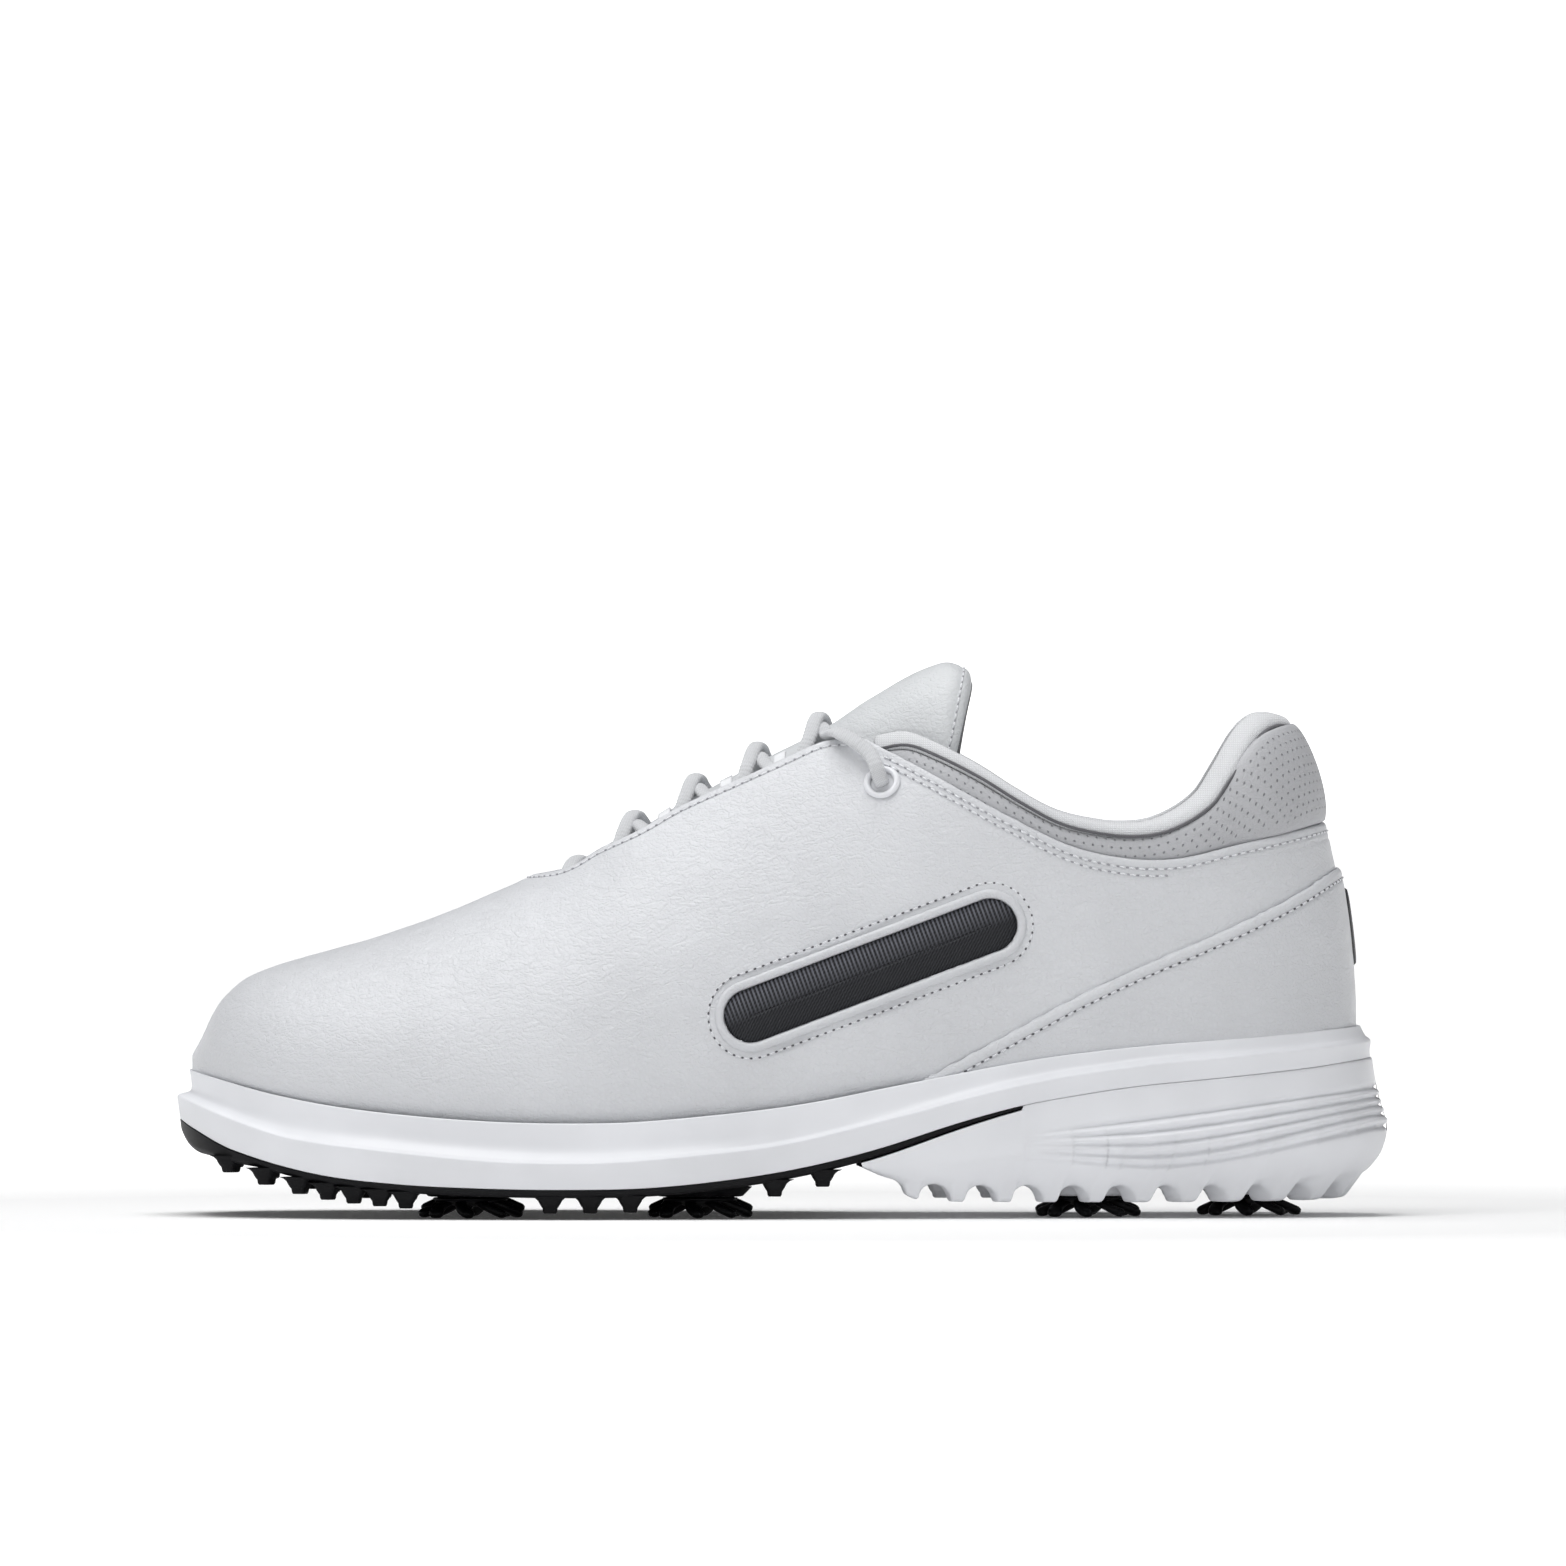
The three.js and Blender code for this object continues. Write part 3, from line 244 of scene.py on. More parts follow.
def wall_point(x, z, side, depth=0.0, extra=None):
    """The point of the side wall at a station and a height."""
    x = np.atleast_1d(np.asarray(x, float))
    z = np.atleast_1d(np.asarray(z, float))
    height = crest(x) - feather(x)
    power = squareness(x)
    rise = (z - feather(x)) / height
    for _ in range(8):
        across = np.maximum(0, 1 - np.clip(rise, 0, 1) ** power) ** (1 / power)
        point = place(x, side * across, rise, depth, extra)
        rise = rise + (z - point[..., 2]) / height
    return point


# ---------------------------------------------------------------- stations along the shoe


def rounded_stations(start, end, power, count):
    """Stations from the start of a rounded end to its tip, even along its curve."""
    angles = np.linspace(0, math.pi / 2, count)[1:]
    return start + (end - start) * np.sin(angles) ** (2 / power)


def full_stations(step=1.3, tip=44):
    toe = rounded_stations(TOE_ROUND_FROM, UPPER_TOE, TOE_ROUNDNESS, tip)[::-1]
    heel = rounded_stations(HEEL_ROUND_FROM, UPPER_HEEL, HEEL_ROUNDNESS, tip)
    body = np.arange(TOE_ROUND_FROM, HEEL_ROUND_FROM + step / 2, step)
    angles = np.linspace(0, math.pi / 2, 26)
    throat = THROAT_ROUND_FROM + (THROAT_FRONT - THROAT_ROUND_FROM) * np.cos(angles)
    ahead = np.linspace(THROAT_FRONT - 5, THROAT_FRONT, 10)
    body = body[(body < THROAT_FRONT - 5.5) | (body > THROAT_ROUND_FROM + 0.6)]
    return np.sort(np.unique(np.round(np.concatenate([toe, body, throat, ahead, heel]), 4)))


# ---------------------------------------------------------------- meshes


class Shell:
    """Gathers grids of points into one mesh."""

    def __init__(self):
        self.points = []
        self.faces = []
        self.marks = []
        self.count = 0

    def grid(self, points, side=LATERAL, wrap=False, marks=None):
        rows, columns = points.shape[:2]
        index = np.arange(rows * columns).reshape(rows, columns) + self.count
        if wrap:
            index = np.concatenate([index, index[:, :1]], 1)
        a, b = index[:-1, :-1], index[1:, :-1]
        c, d = index[1:, 1:], index[:-1, 1:]
        faces = np.stack([a, b, c, d], -1).reshape(-1, 4)
        if side == MEDIAL:
            faces = faces[:, ::-1]
        self.faces.append(faces)
        self.points.append(points.reshape(-1, 3))
        self.marks.append(np.zeros((rows * columns, 3)) if marks is None else marks.reshape(-1, 3))
        self.count += rows * columns
        return index

    def strips_across(self, ring, flip=False):
        """Closes a ring of point numbers, first half facing second half."""
        size = len(ring)
        made = []
        for i in range(size // 2):
            quad = [ring[i], ring[i + 1], ring[size - 2 - i], ring[size - 1 - i]]
            if i + 1 == size - 2 - i:
                quad = [ring[i], ring[i + 1], ring[size - 1 - i], ring[size - 1 - i]]
            if len(set(quad)) >= 3:
                made.append(quad[::-1] if flip else quad)
        if made:
            self.faces.append(np.array(made))

    def cap_ends(self, index, flip=True):
        """Closes the first and the last ring of a wrapped grid."""
        self.strips_across(index[0, :-1].tolist(), flip)
        self.strips_across(index[-1, :-1].tolist(), not flip)

    def build(self, name, weld=0.02, use_marks=False):
        points = np.concatenate(self.points) * MM
        faces = [tuple(dict.fromkeys(face)) for face in np.concatenate(self.faces).tolist()]
        mesh = bpy.data.meshes.new(name)
        mesh.from_pydata(points.tolist(), [], [face for face in faces if len(face) >= 3])
        if use_marks:
            layer = mesh.attributes.new("skin_uv", "FLOAT_VECTOR", "POINT")
            layer.data.foreach_set("vector", np.concatenate(self.marks).astype(np.float32).ravel())
        if weld:
            shape = bmesh.new()
            shape.from_mesh(mesh)
            bmesh.ops.remove_doubles(shape, verts=shape.verts, dist=weld * MM)
            bmesh.ops.dissolve_degenerate(shape, edges=shape.edges, dist=weld * MM / 4)
            shape.to_mesh(mesh)
            shape.free()
        for polygon in mesh.polygons:
            polygon.use_smooth = True
        made = bpy.data.objects.new(name, mesh)
        bpy.context.scene.collection.objects.link(made)
        return made


def dress(made, material, replaces=(), body="shoe"):
    """Gives a piece its material, the CAD nodes it stands for, and the body it rides on."""
    made.data.materials.clear()
    made.data.materials.append(material)
    if replaces:
        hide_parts(*replaces)
    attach(made, body)
    return made


def thicken(made, thickness):
    solid = made.modifiers.new("thickness", "SOLIDIFY")
    solid.thickness = thickness * MM
    solid.offset = -1
    solid.use_even_offset = False
    return made


def turns_by_distance(x, side, low, high, near, spread, depth=0.0, extra=None):
    """Turns for each station: rows at the near distances from the high edge, then even rows down."""
    samples = np.linspace(0, 1, 260)
    turns = low[:, None] + (high - low)[:, None] * samples[None, :]
    points = skin(x[:, None], turns, side, depth, extra)
    steps = np.linalg.norm(np.diff(points, axis=1), axis=-1)
    along = np.concatenate([np.zeros((len(x), 1)), np.cumsum(steps, 1)], 1)
    made = []
    for i in range(len(x)):
        total = along[i, -1]
        close = np.array(near, float)
        scale = min(1.0, total * 0.5 / close[-1]) if close[-1] > 0 else 1.0
        close = close * scale
        rest = np.linspace(close[-1], total, spread + 1)[1:]
        from_edge = np.concatenate([close, rest])
        made.append(np.interp(total - from_edge, along[i], turns[i]))
    return np.array(made)[:, ::-1]


def distance_to(points, line):
    """Distance from each point to a line of points."""
    flat = points.reshape(-1, 3)
    found = np.empty(len(flat))
    for start in range(0, len(flat), 4000):
        part = flat[start:start + 4000]
        found[start:start + 4000] = np.sqrt(((part[:, None] - line[None]) ** 2).sum(-1)).min(1)
    return found.reshape(points.shape[:-1])


def resample(line, step, closed=False):
    if closed:
        line = np.concatenate([line, line[:1]])
    steps = np.linalg.norm(np.diff(line, axis=0), axis=1)
    along = np.concatenate([[0], np.cumsum(steps)])
    count = max(2, int(round(along[-1] / step)) + 1)
    wanted = np.linspace(0, along[-1], count)
    made = np.stack([np.interp(wanted, along, line[:, k]) for k in range(3)], 1)
    return made[:-1] if closed else made


def tangents(line, closed=False):
    if closed:
        made = np.roll(line, -1, 0) - np.roll(line, 1, 0)
    else:
        made = np.gradient(line, axis=0)
    return made / np.maximum(np.linalg.norm(made, axis=1, keepdims=True), 1e-9)


def unit(vectors):
    return vectors / np.maximum(np.linalg.norm(vectors, axis=-1, keepdims=True), 1e-9)


def spline(points, per_span=12):
    """A smooth line through points."""
    points = np.asarray(points, float)
    ends = np.concatenate([2 * points[:1] - points[1:2], points, 2 * points[-1:] - points[-2:-1]])
    made = []
    for i in range(1, len(ends) - 2):
        p0, p1, p2, p3 = ends[i - 1:i + 3]
        knots = [0.0]
        for a, b in ((p0, p1), (p1, p2), (p2, p3)):
            knots.append(knots[-1] + max(np.linalg.norm(b - a), 1e-6) ** 0.5)
        t = np.linspace(knots[1], knots[2], per_span, endpoint=False)[:, None]
        a1 = (knots[1] - t) / (knots[1] - knots[0]) * p0 + (t - knots[0]) / (knots[1] - knots[0]) * p1
        a2 = (knots[2] - t) / (knots[2] - knots[1]) * p1 + (t - knots[1]) / (knots[2] - knots[1]) * p2
        a3 = (knots[3] - t) / (knots[3] - knots[2]) * p2 + (t - knots[2]) / (knots[3] - knots[2]) * p3
        b1 = (knots[2] - t) / (knots[2] - knots[0]) * a1 + (t - knots[0]) / (knots[2] - knots[0]) * a2
        b2 = (knots[3] - t) / (knots[3] - knots[1]) * a2 + (t - knots[1]) / (knots[3] - knots[1]) * a3
        made.append((knots[2] - t) / (knots[2] - knots[1]) * b1 + (t - knots[1]) / (knots[2] - knots[1]) * b2)
    return np.concatenate(made + [points[-1:]])


def squared_circle(angles, power):
    """Points round a circle that gets squarer as the power goes above 2."""
    c, s = np.cos(angles), np.sin(angles)
    return np.sign(c) * np.abs(c) ** (2 / power), np.sign(s) * np.abs(s) ** (2 / power)


def turned(shell, centre, profile, count, facing=MEDIAL):
    """A surface turned about an upright axis; the profile is pairs of radius and height."""
    turn = np.linspace(0, 2 * math.pi, count, endpoint=False)
    rings = [np.stack([centre[0] + r * np.cos(turn), centre[1] + r * np.sin(turn), np.full(count, z)], 1)
             for r, z in profile]
    return shell.grid(np.stack(rings), facing, wrap=True)


def tube(shell, line, out, wide, thick, faces=16, power=2.0, closed=False):
    """A tube of oval section along a line. out is the direction of its thin side at each point."""
    along = tangents(line, closed)
    across = unit(np.cross(along, out))
    up = unit(np.cross(across, along))
    angles = np.linspace(0, 2 * math.pi, faces, endpoint=False) + math.pi / faces
    c, s = squared_circle(angles, power)
    wide = np.broadcast_to(wide, len(line))
    thick = np.broadcast_to(thick, len(line))
    points = (line[:, None] + across[:, None] * (c[None, :, None] * wide[:, None, None])
              + up[:, None] * (s[None, :, None] * thick[:, None, None]))
    if closed:
        points = np.concatenate([points, points[:1]])
    index = shell.grid(points, LATERAL, wrap=True)
    if not closed:
        shell.cap_ends(index, flip=False)
    return points


# One stitch, and one dot of painted shade for its needle hole: share along it, share of its radius, and lift
# off the leather.
THREAD_BEAD = ((-0.5, 0.35, -0.22), (-0.36, 0.9, 0.0), (0.0, 1.0, 0.12), (0.36, 0.9, 0.0),
               (0.5, 0.35, -0.22))
HOLE_SHADE_BEAD = ((-0.5, 0.3, -0.1), (-0.25, 0.95, 0.0), (0.25, 0.95, 0.0), (0.5, 0.3, -0.1))
HOLE_SHADE_LENGTH = 0.7


def stitches(shell, line, beside, holes=None, pitch=2.4, length=1.6, radius=0.27, closed=False, start=0.0):
    """A row of stitches, and dark dots of painted shade for the needle holes between them; beside is the line
    moved across the surface.
    """
    fine = resample(line, 0.2, closed)
    close = resample(beside, 0.2, closed)
    near = close[((fine[:, None] - close[None]) ** 2).sum(-1).argmin(1)]
    along = tangents(fine, closed)
    outward = unit(np.cross(along, near - fine))
    core = np.stack([fine[:, 0], crest_shift(fine[:, 0]), np.full(len(fine), 60.0)], 1)
    outward = outward * np.sign(((fine - core) * outward).sum(1) + 1e-9)[:, None]
    gaps = np.linalg.norm(np.diff(fine, axis=0), axis=1)
    lengths = np.concatenate([[0], np.cumsum(gaps)])

    def bead(into, at, profile, size, reach):
        places = at + np.array([share for share, _, _ in profile]) * size
        centre = np.stack([np.interp(places, lengths, fine[:, k]) for k in range(3)], 1)
        out = unit(np.stack([np.interp(places, lengths, outward[:, k]) for k in range(3)], 1))
        lifts = np.array([lift for _, _, lift in profile])
        sizes = np.array([share for _, share, _ in profile]) * reach
        tube(into, centre + out * lifts[:, None], out, sizes, sizes, faces=6)

    at = start + pitch / 2
    while at + length / 2 < lengths[-1]:
        bead(shell, at, THREAD_BEAD, length, radius)
        if holes is not None:
            bead(holes, at + pitch / 2, HOLE_SHADE_BEAD, HOLE_SHADE_LENGTH, radius * 1.05)
        at += pitch


def lattice_noise(points, size, seed):
    """Smooth noise from -1 to 1 with lumps of about that size."""
    side = 24
    values = np.random.default_rng(seed).uniform(-1, 1, (side, side, side))
    at = points / size
    cell = np.floor(at).astype(int)
    t = at - cell
    t = t * t * (3 - 2 * t)
    total = 0.0
    for corner in range(8):
        step = np.array([(corner >> k) & 1 for k in range(3)])
        i = (cell + step) % side
        weight = np.prod(np.where(step, t, 1 - t), -1)
        total = total + weight * values[i[..., 0], i[..., 1], i[..., 2]]
    return total


# ---------------------------------------------------------------- materials

# The plain slanted bar on each side: half height, half length of its straight part, slope and middle.
BAR_HALF = 7.0
BAR_REACH = 32.0
BAR_TILT = 0.36
BAR_CENTRE = (22.0, 62.0)


def scaled(colour, amount):
    return tuple(min(1, c * amount) for c in colour)


def new_material(name, colour, roughness):
    made = bpy.data.materials.new(name)
    made.use_nodes = True
    shader = made.node_tree.nodes["Principled BSDF"]
    shader.inputs["Base Color"].default_value = (*colour, 1)
    shader.inputs["Roughness"].default_value = roughness
    return made, made.node_tree, shader


def put(tree, kind, values=None, **settings):
    made = tree.nodes.new(kind)
    for key, value in settings.items():
        setattr(made, key, value)
    for key, value in (values or {}).items():
        made.inputs[key].default_value = value
    return made


def coordinates(tree, stretch=(1, 1, 1), turn=(0, 0, 0)):
    place_node = put(tree, "ShaderNodeTexCoord")
    mapping = put(tree, "ShaderNodeMapping", {"Scale": stretch, "Rotation": turn})
    tree.links.new(place_node.outputs["Object"], mapping.inputs["Vector"])
    return mapping.outputs["Vector"]


def noise(tree, vector, scale, detail=2.0, distortion=0.0):
    made = put(tree, "ShaderNodeTexNoise", {"Scale": scale, "Detail": detail, "Distortion": distortion})
    tree.links.new(vector, made.inputs["Vector"])
    return made.outputs["Fac"]


def remap(tree, value, low, high, to_low, to_high):
    made = put(tree, "ShaderNodeMapRange",
               {"From Min": low, "From Max": high, "To Min": to_low, "To Max": to_high})
    tree.links.new(value, made.inputs["Value"])
    return made.outputs["Result"]


def maths(tree, operation, first, second=None):
    made = put(tree, "ShaderNodeMath", operation=operation)
    for k, value in enumerate((first, second)):
        if value is None:
            continue
        if isinstance(value, (int, float)):
            made.inputs[k].default_value = value
        else:
            tree.links.new(value, made.inputs[k])
    return made.outputs["Value"]


def bump(tree, height, depth, strength=1.0, under=None):
    made = put(tree, "ShaderNodeBump", {"Distance": depth * MM, "Strength": strength})
    tree.links.new(height, made.inputs["Height"])
    if under is not None:
        tree.links.new(under, made.inputs["Normal"])
    return made.outputs["Normal"]


def mix_colours(tree, share, low, high):
    """Mixes two colours, or a socket and a colour."""
    made = tree.nodes.new("ShaderNodeMix")
    made.data_type = "RGBA"
    sockets = [s for s in made.inputs if s.type == "RGBA"]
    for socket, value in zip(sockets, (low, high)):
        if isinstance(value, tuple):
            socket.default_value = (*value, 1)
        else:
            tree.links.new(value, socket)
    tree.links.new(share, made.inputs[0])
    return [s for s in made.outputs if s.type == "RGBA"][0]


def leather(name, colour, roughness=0.42, crease=0.24, grain=0.07, dots=False):
    made, tree, shader = new_material(name, colour, roughness)
    at = coordinates(tree)
    soft = noise(tree, at, 26, 2.0)
    folds = noise(tree, coordinates(tree, (0.8, 1, 1.5)), 300, 4.0, 0.8)
    fold_lines = maths(tree, "ABSOLUTE", maths(tree, "SUBTRACT", folds, 0.5))
    fold_height = remap(tree, fold_lines, 0.0, 0.09, 0.0, 1.0)
    cells = put(tree, "ShaderNodeTexVoronoi", {"Scale": 820.0, "Randomness": 1.0}, feature="DISTANCE_TO_EDGE")
    tree.links.new(at, cells.inputs["Vector"])
    pores = remap(tree, cells.outputs["Distance"], 0.0, 0.22, 0.0, 1.0)
    shade = mix_colours(tree, remap(tree, soft, 0.35, 0.65, 0.0, 1.0),
                        scaled(colour, 0.965), scaled(colour, 1.02))
    shade = mix_colours(tree, remap(tree, pores, 0.0, 1.0, 0.10, 0.0), shade, scaled(colour, 0.8))
    normal = bump(tree, fold_height, crease, 0.4)
    normal = bump(tree, pores, grain, 0.7, normal)
    if dots:
        shade, normal = punched(tree, shade, normal)
    tree.links.new(shade, shader.inputs["Base Color"])
    tree.links.new(normal, shader.inputs["Normal"])
    rough = remap(tree, noise(tree, at, 300, 2.0), 0.3, 0.7, roughness - 0.05, roughness + 0.07)
    tree.links.new(rough, shader.inputs["Roughness"])
    shader.inputs["Specular IOR Level"].default_value = 0.45
    return made


def punched(tree, shade, normal, pitch=2.4, row=2.1, radius=0.28):
    """Rows of fine punched holes, painted dark grey for the shade inside them, laid out by the panel's own
    marks in millimetres.
    """
    marks = put(tree, "ShaderNodeAttribute", attribute_name="skin_uv")
    split = put(tree, "ShaderNodeSeparateXYZ")
    tree.links.new(marks.outputs["Vector"], split.inputs["Vector"])
    rows = maths(tree, "DIVIDE", split.outputs["Y"], row)
    odd = maths(tree, "MULTIPLY", maths(tree, "FLOOR", rows), 0.5)
    columns = maths(tree, "ADD", maths(tree, "DIVIDE", split.outputs["X"], pitch), odd)
    u = maths(tree, "MULTIPLY", maths(tree, "SUBTRACT", maths(tree, "FRACT", columns), 0.5), pitch)
    v = maths(tree, "MULTIPLY", maths(tree, "SUBTRACT", maths(tree, "FRACT", rows), 0.5), row)
    square = maths(tree, "ADD", maths(tree, "MULTIPLY", u, u), maths(tree, "MULTIPLY", v, v))
    reach = maths(tree, "SQRT", square)
    hole = remap(tree, reach, radius - 0.08, radius + 0.06, 1.0, 0.0)
    shown = maths(tree, "MULTIPLY", hole, split.outputs["Z"])
    shade = mix_colours(tree, shown, shade, (0.24, 0.245, 0.26))
    return shade, bump(tree, maths(tree, "SUBTRACT", 1.0, shown), 0.4, 0.8, normal)


def moulded(name, colour, roughness=0.4, grain=0.05, scale=900, shine=0.5):
    """Moulded plastic or rubber: fine surface grain and slightly uneven gloss."""
    made, tree, shader = new_material(name, colour, roughness)
    at = coordinates(tree)
    fine = noise(tree, at, scale, 3.0)
    broad = noise(tree, at, 35, 2.0)
    shade = mix_colours(tree, remap(tree, broad, 0.35, 0.65, 0.0, 1.0),
                        scaled(colour, 0.95), scaled(colour, 1.02))
    tree.links.new(shade, shader.inputs["Base Color"])
    tree.links.new(bump(tree, fine, grain, 0.5), shader.inputs["Normal"])
    rough = remap(tree, broad, 0.3, 0.7, roughness - 0.05, roughness + 0.08)
    tree.links.new(rough, shader.inputs["Roughness"])
    shader.inputs["Specular IOR Level"].default_value = shine
    return made


def woven(name, colour, roughness=0.85, thread=0.5, depth=0.12, turn=(0, 0, 0), dark=0.72):
    """Cloth: two sets of threads that cross, with a little fuzz."""
    made, tree, shader = new_material(name, colour, roughness)
    at = coordinates(tree, (1, 1, 1), turn)
    bands = []
    for direction in ("X", "Z"):
        wave = put(tree, "ShaderNodeTexWave", {"Scale": math.pi / 10 / (thread * MM), "Distortion": 0.6,
                                               "Detail": 1.0, "Detail Scale": 1.5},
                   bands_direction=direction)
        tree.links.new(at, wave.inputs["Vector"])
        bands.append(wave.outputs["Fac"])
    weave = maths(tree, "MULTIPLY", bands[0], bands[1])
    fuzz = noise(tree, at, 2200, 3.0)
    height = maths(tree, "ADD", weave, maths(tree, "MULTIPLY", fuzz, 0.5))
    shade = mix_colours(tree, remap(tree, weave, 0.0, 0.6, 0.0, 1.0), scaled(colour, dark), colour)
    tree.links.new(shade, shader.inputs["Base Color"])
    tree.links.new(bump(tree, height, depth, 0.7), shader.inputs["Normal"])
    shader.inputs["Sheen Weight"].default_value = 0.25
    shader.inputs["Sheen Roughness"].default_value = 0.5
    return made


def satin(name, colour, light):
    """Dense satin embroidery: slanted threads, with a painted highlight of paler ribs along the upper part.
    """
    made, tree, shader = new_material(name, colour, 0.38)
    at = coordinates(tree, (1, 1, 1), (0, math.radians(62), 0))
    threads = put(tree, "ShaderNodeTexWave",
                  {"Scale": 480.0, "Distortion": 0.8, "Detail": 1.0, "Detail Scale": 0.6},
                  bands_direction="Z")
    tree.links.new(at, threads.inputs["Vector"])
    lengthwise = coordinates(tree, (1, 1, 1), (0, BAR_TILT, 0))
    ribs = put(tree, "ShaderNodeTexWave", {"Scale": 300.0, "Distortion": 0.3}, bands_direction="X")
    tree.links.new(lengthwise, ribs.inputs["Vector"])
    split = put(tree, "ShaderNodeSeparateXYZ")
    tree.links.new(lengthwise, split.inputs["Vector"])
    middle_height = (BAR_CENTRE[1] * math.cos(BAR_TILT) - BAR_CENTRE[0] * math.sin(BAR_TILT)) * MM
    # Painted highlight: the ribs are paler along the upper part of the bar.
    upper = remap(tree, split.outputs["Z"], middle_height - 1.0 * MM, middle_height + 4.5 * MM, 0.0, 1.0)
    highlight_ribs = maths(tree, "MULTIPLY", upper, remap(tree, ribs.outputs["Fac"], 0.35, 0.8, 0.0, 1.0))
    shade = mix_colours(tree, remap(tree, threads.outputs["Fac"], 0.1, 0.9, 0.0, 1.0), colour, light)
    shade = mix_colours(tree, highlight_ribs, shade, scaled(light, 5))
    tree.links.new(shade, shader.inputs["Base Color"])
    normal = bump(tree, threads.outputs["Fac"], 0.16, 0.8)
    tree.links.new(bump(tree, ribs.outputs["Fac"], 0.2, 0.6, normal), shader.inputs["Normal"])
    shader.inputs["Roughness"].default_value = 0.5
    shader.inputs["Specular IOR Level"].default_value = 0.25
    return made


def thread(name, colour):
    made, tree, shader = new_material(name, colour, 0.55)
    at = coordinates(tree)
    twist = put(tree, "ShaderNodeTexWave", {"Scale": 900.0, "Distortion": 0.4}, bands_direction="DIAGONAL")
    tree.links.new(at, twist.inputs["Vector"])
    shade = mix_colours(tree, twist.outputs["Fac"], scaled(colour, 0.86), colour)
    tree.links.new(shade, shader.inputs["Base Color"])
    tree.links.new(bump(tree, twist.outputs["Fac"], 0.06, 0.6), shader.inputs["Normal"])
    shader.inputs["Sheen Weight"].default_value = 0.15
    return made


def sponge(name, colour):
    made, tree, shader = new_material(name, colour, 0.95)
    cells = put(tree, "ShaderNodeTexVoronoi", {"Scale": 1100.0})
    tree.links.new(coordinates(tree), cells.inputs["Vector"])
    shade = mix_colours(tree, cells.outputs["Distance"], scaled(colour, 0.7), colour)
    tree.links.new(shade, shader.inputs["Base Color"])
    tree.links.new(bump(tree, cells.outputs["Distance"], 0.3, 0.8), shader.inputs["Normal"])
    return made


LEATHER_WHITE = (0.655, 0.665, 0.69)
mats = {
    "leather": leather("white_leather", LEATHER_WHITE),
    "overlay": leather("white_leather_overlay", (0.64, 0.65, 0.675), 0.40, 0.16, 0.07),
    "tongue": leather("white_leather_tongue", (0.60, 0.615, 0.63), 0.45, 0.18, 0.08),
    "collar": leather("perforated_leather", (0.47, 0.475, 0.495), 0.55, 0.12, 0.06, dots=True),
    "moulding": moulded("white_moulding", (0.79, 0.80, 0.83), 0.38, 0.03, 700),
    "outsole": moulded("black_outsole", (0.005, 0.005, 0.006), 0.45, 0.05, 900, 0.15),
    "spike": moulded("black_spike", (0.003, 0.003, 0.004), 0.45, 0.05, 1100, 0.15),
    "receptacle": moulded("receptacle", (0.03, 0.03, 0.033), 0.55, 0.06, 1300),
    "shank": moulded("shank", (0.06, 0.06, 0.065), 0.5, 0.08, 600),
    "board": sponge("fibre_board", (0.5, 0.46, 0.38)),
    "foam": sponge("padding_foam", (0.78, 0.75, 0.66)),
    "lining": woven("lining_textile", (0.72, 0.73, 0.75), thread=0.55, depth=0.14, dark=0.85),
    "lining_dark": woven("tongue_lining_textile", (0.18, 0.185, 0.2), thread=0.5),
    "sockliner": woven("sockliner_textile", (0.55, 0.56, 0.59), thread=0.7),
    "webbing": woven("webbing", (0.80, 0.81, 0.83), thread=0.4, depth=0.05, dark=0.95),
    "lace": woven("lace_cord", (0.66, 0.67, 0.69), thread=0.4, depth=0.12, turn=(0.3, 0.4, 0.2), dark=0.82),
    "satin": satin("dark_satin", (0.008, 0.009, 0.011), (0.03, 0.031, 0.036)),
    "patch": moulded("dark_patch", (0.03, 0.031, 0.036), 0.42, 0.04, 900),
    "eyelet": moulded("eyelet_plastic", (0.8, 0.81, 0.84), 0.32, 0.02, 900),
    "aglet": moulded("aglet_film", (0.7, 0.71, 0.74), 0.22, 0.02, 900),
    "thread": thread("white_thread", (0.80, 0.81, 0.84)),
    # Painted shade: grey and dark dots for the shade in needle holes, and dark pieces for the shade in the
    # crease under the collar roll and inside the eyelets.
    "grey_painted_shade": thread("painted_shade_grey", (0.36, 0.365, 0.39)),
    "dark_painted_shade": thread("painted_shade_dark", (0.10, 0.10, 0.11)),
}


# ---------------------------------------------------------------- upper

EDGE_ROWS = (0, 0.35, 0.75, 1.2, 1.65, 2.1, 2.55, 3.0, 3.5, 4.1, 4.8, 5.6)
STITCH_IN = 2.3
SECOND_ROW_END = 98.0
STITCH_WIDTH = 0.6
OVERLAY_RAISED = -1.35


def bar_distance(points):
    """How far outside the slanted side bar a point is, seen from the side; negative inside it."""
    dx, dz = points[..., 0] - BAR_CENTRE[0], points[..., 2] - BAR_CENTRE[1]
    along = dx * math.cos(BAR_TILT) + dz * math.sin(BAR_TILT)
    off = -dx * math.sin(BAR_TILT) + dz * math.cos(BAR_TILT)
    return np.hypot(np.maximum(np.abs(along) - BAR_REACH, 0), off) - BAR_HALF


def bar_outline(grow, count=60):
    """Points in X and Z round the slanted bar, grown by an amount."""
    half = BAR_HALF + grow
    arc = np.linspace(-math.pi / 2, math.pi / 2, count // 2)
    right = np.stack([BAR_REACH + half * np.cos(arc), half * np.sin(arc)], 1)
    left = -right
    local = np.concatenate([right, left])
    c, s = math.cos(BAR_TILT), math.sin(BAR_TILT)
    return np.stack([BAR_CENTRE[0] + local[:, 0] * c - local[:, 1] * s,
                     BAR_CENTRE[1] + local[:, 0] * s + local[:, 1] * c], 1)


def fold_depth(e, radius=0.8):
    """Depth of a rolled edge at a distance from it."""
    inside = np.clip(radius - e, 0, radius)
    return radius - np.sqrt(radius ** 2 - inside ** 2)


def dip(e, at, width=0.5, depth=0.22):
    return depth * np.exp(-((e - at) / width) ** 2)


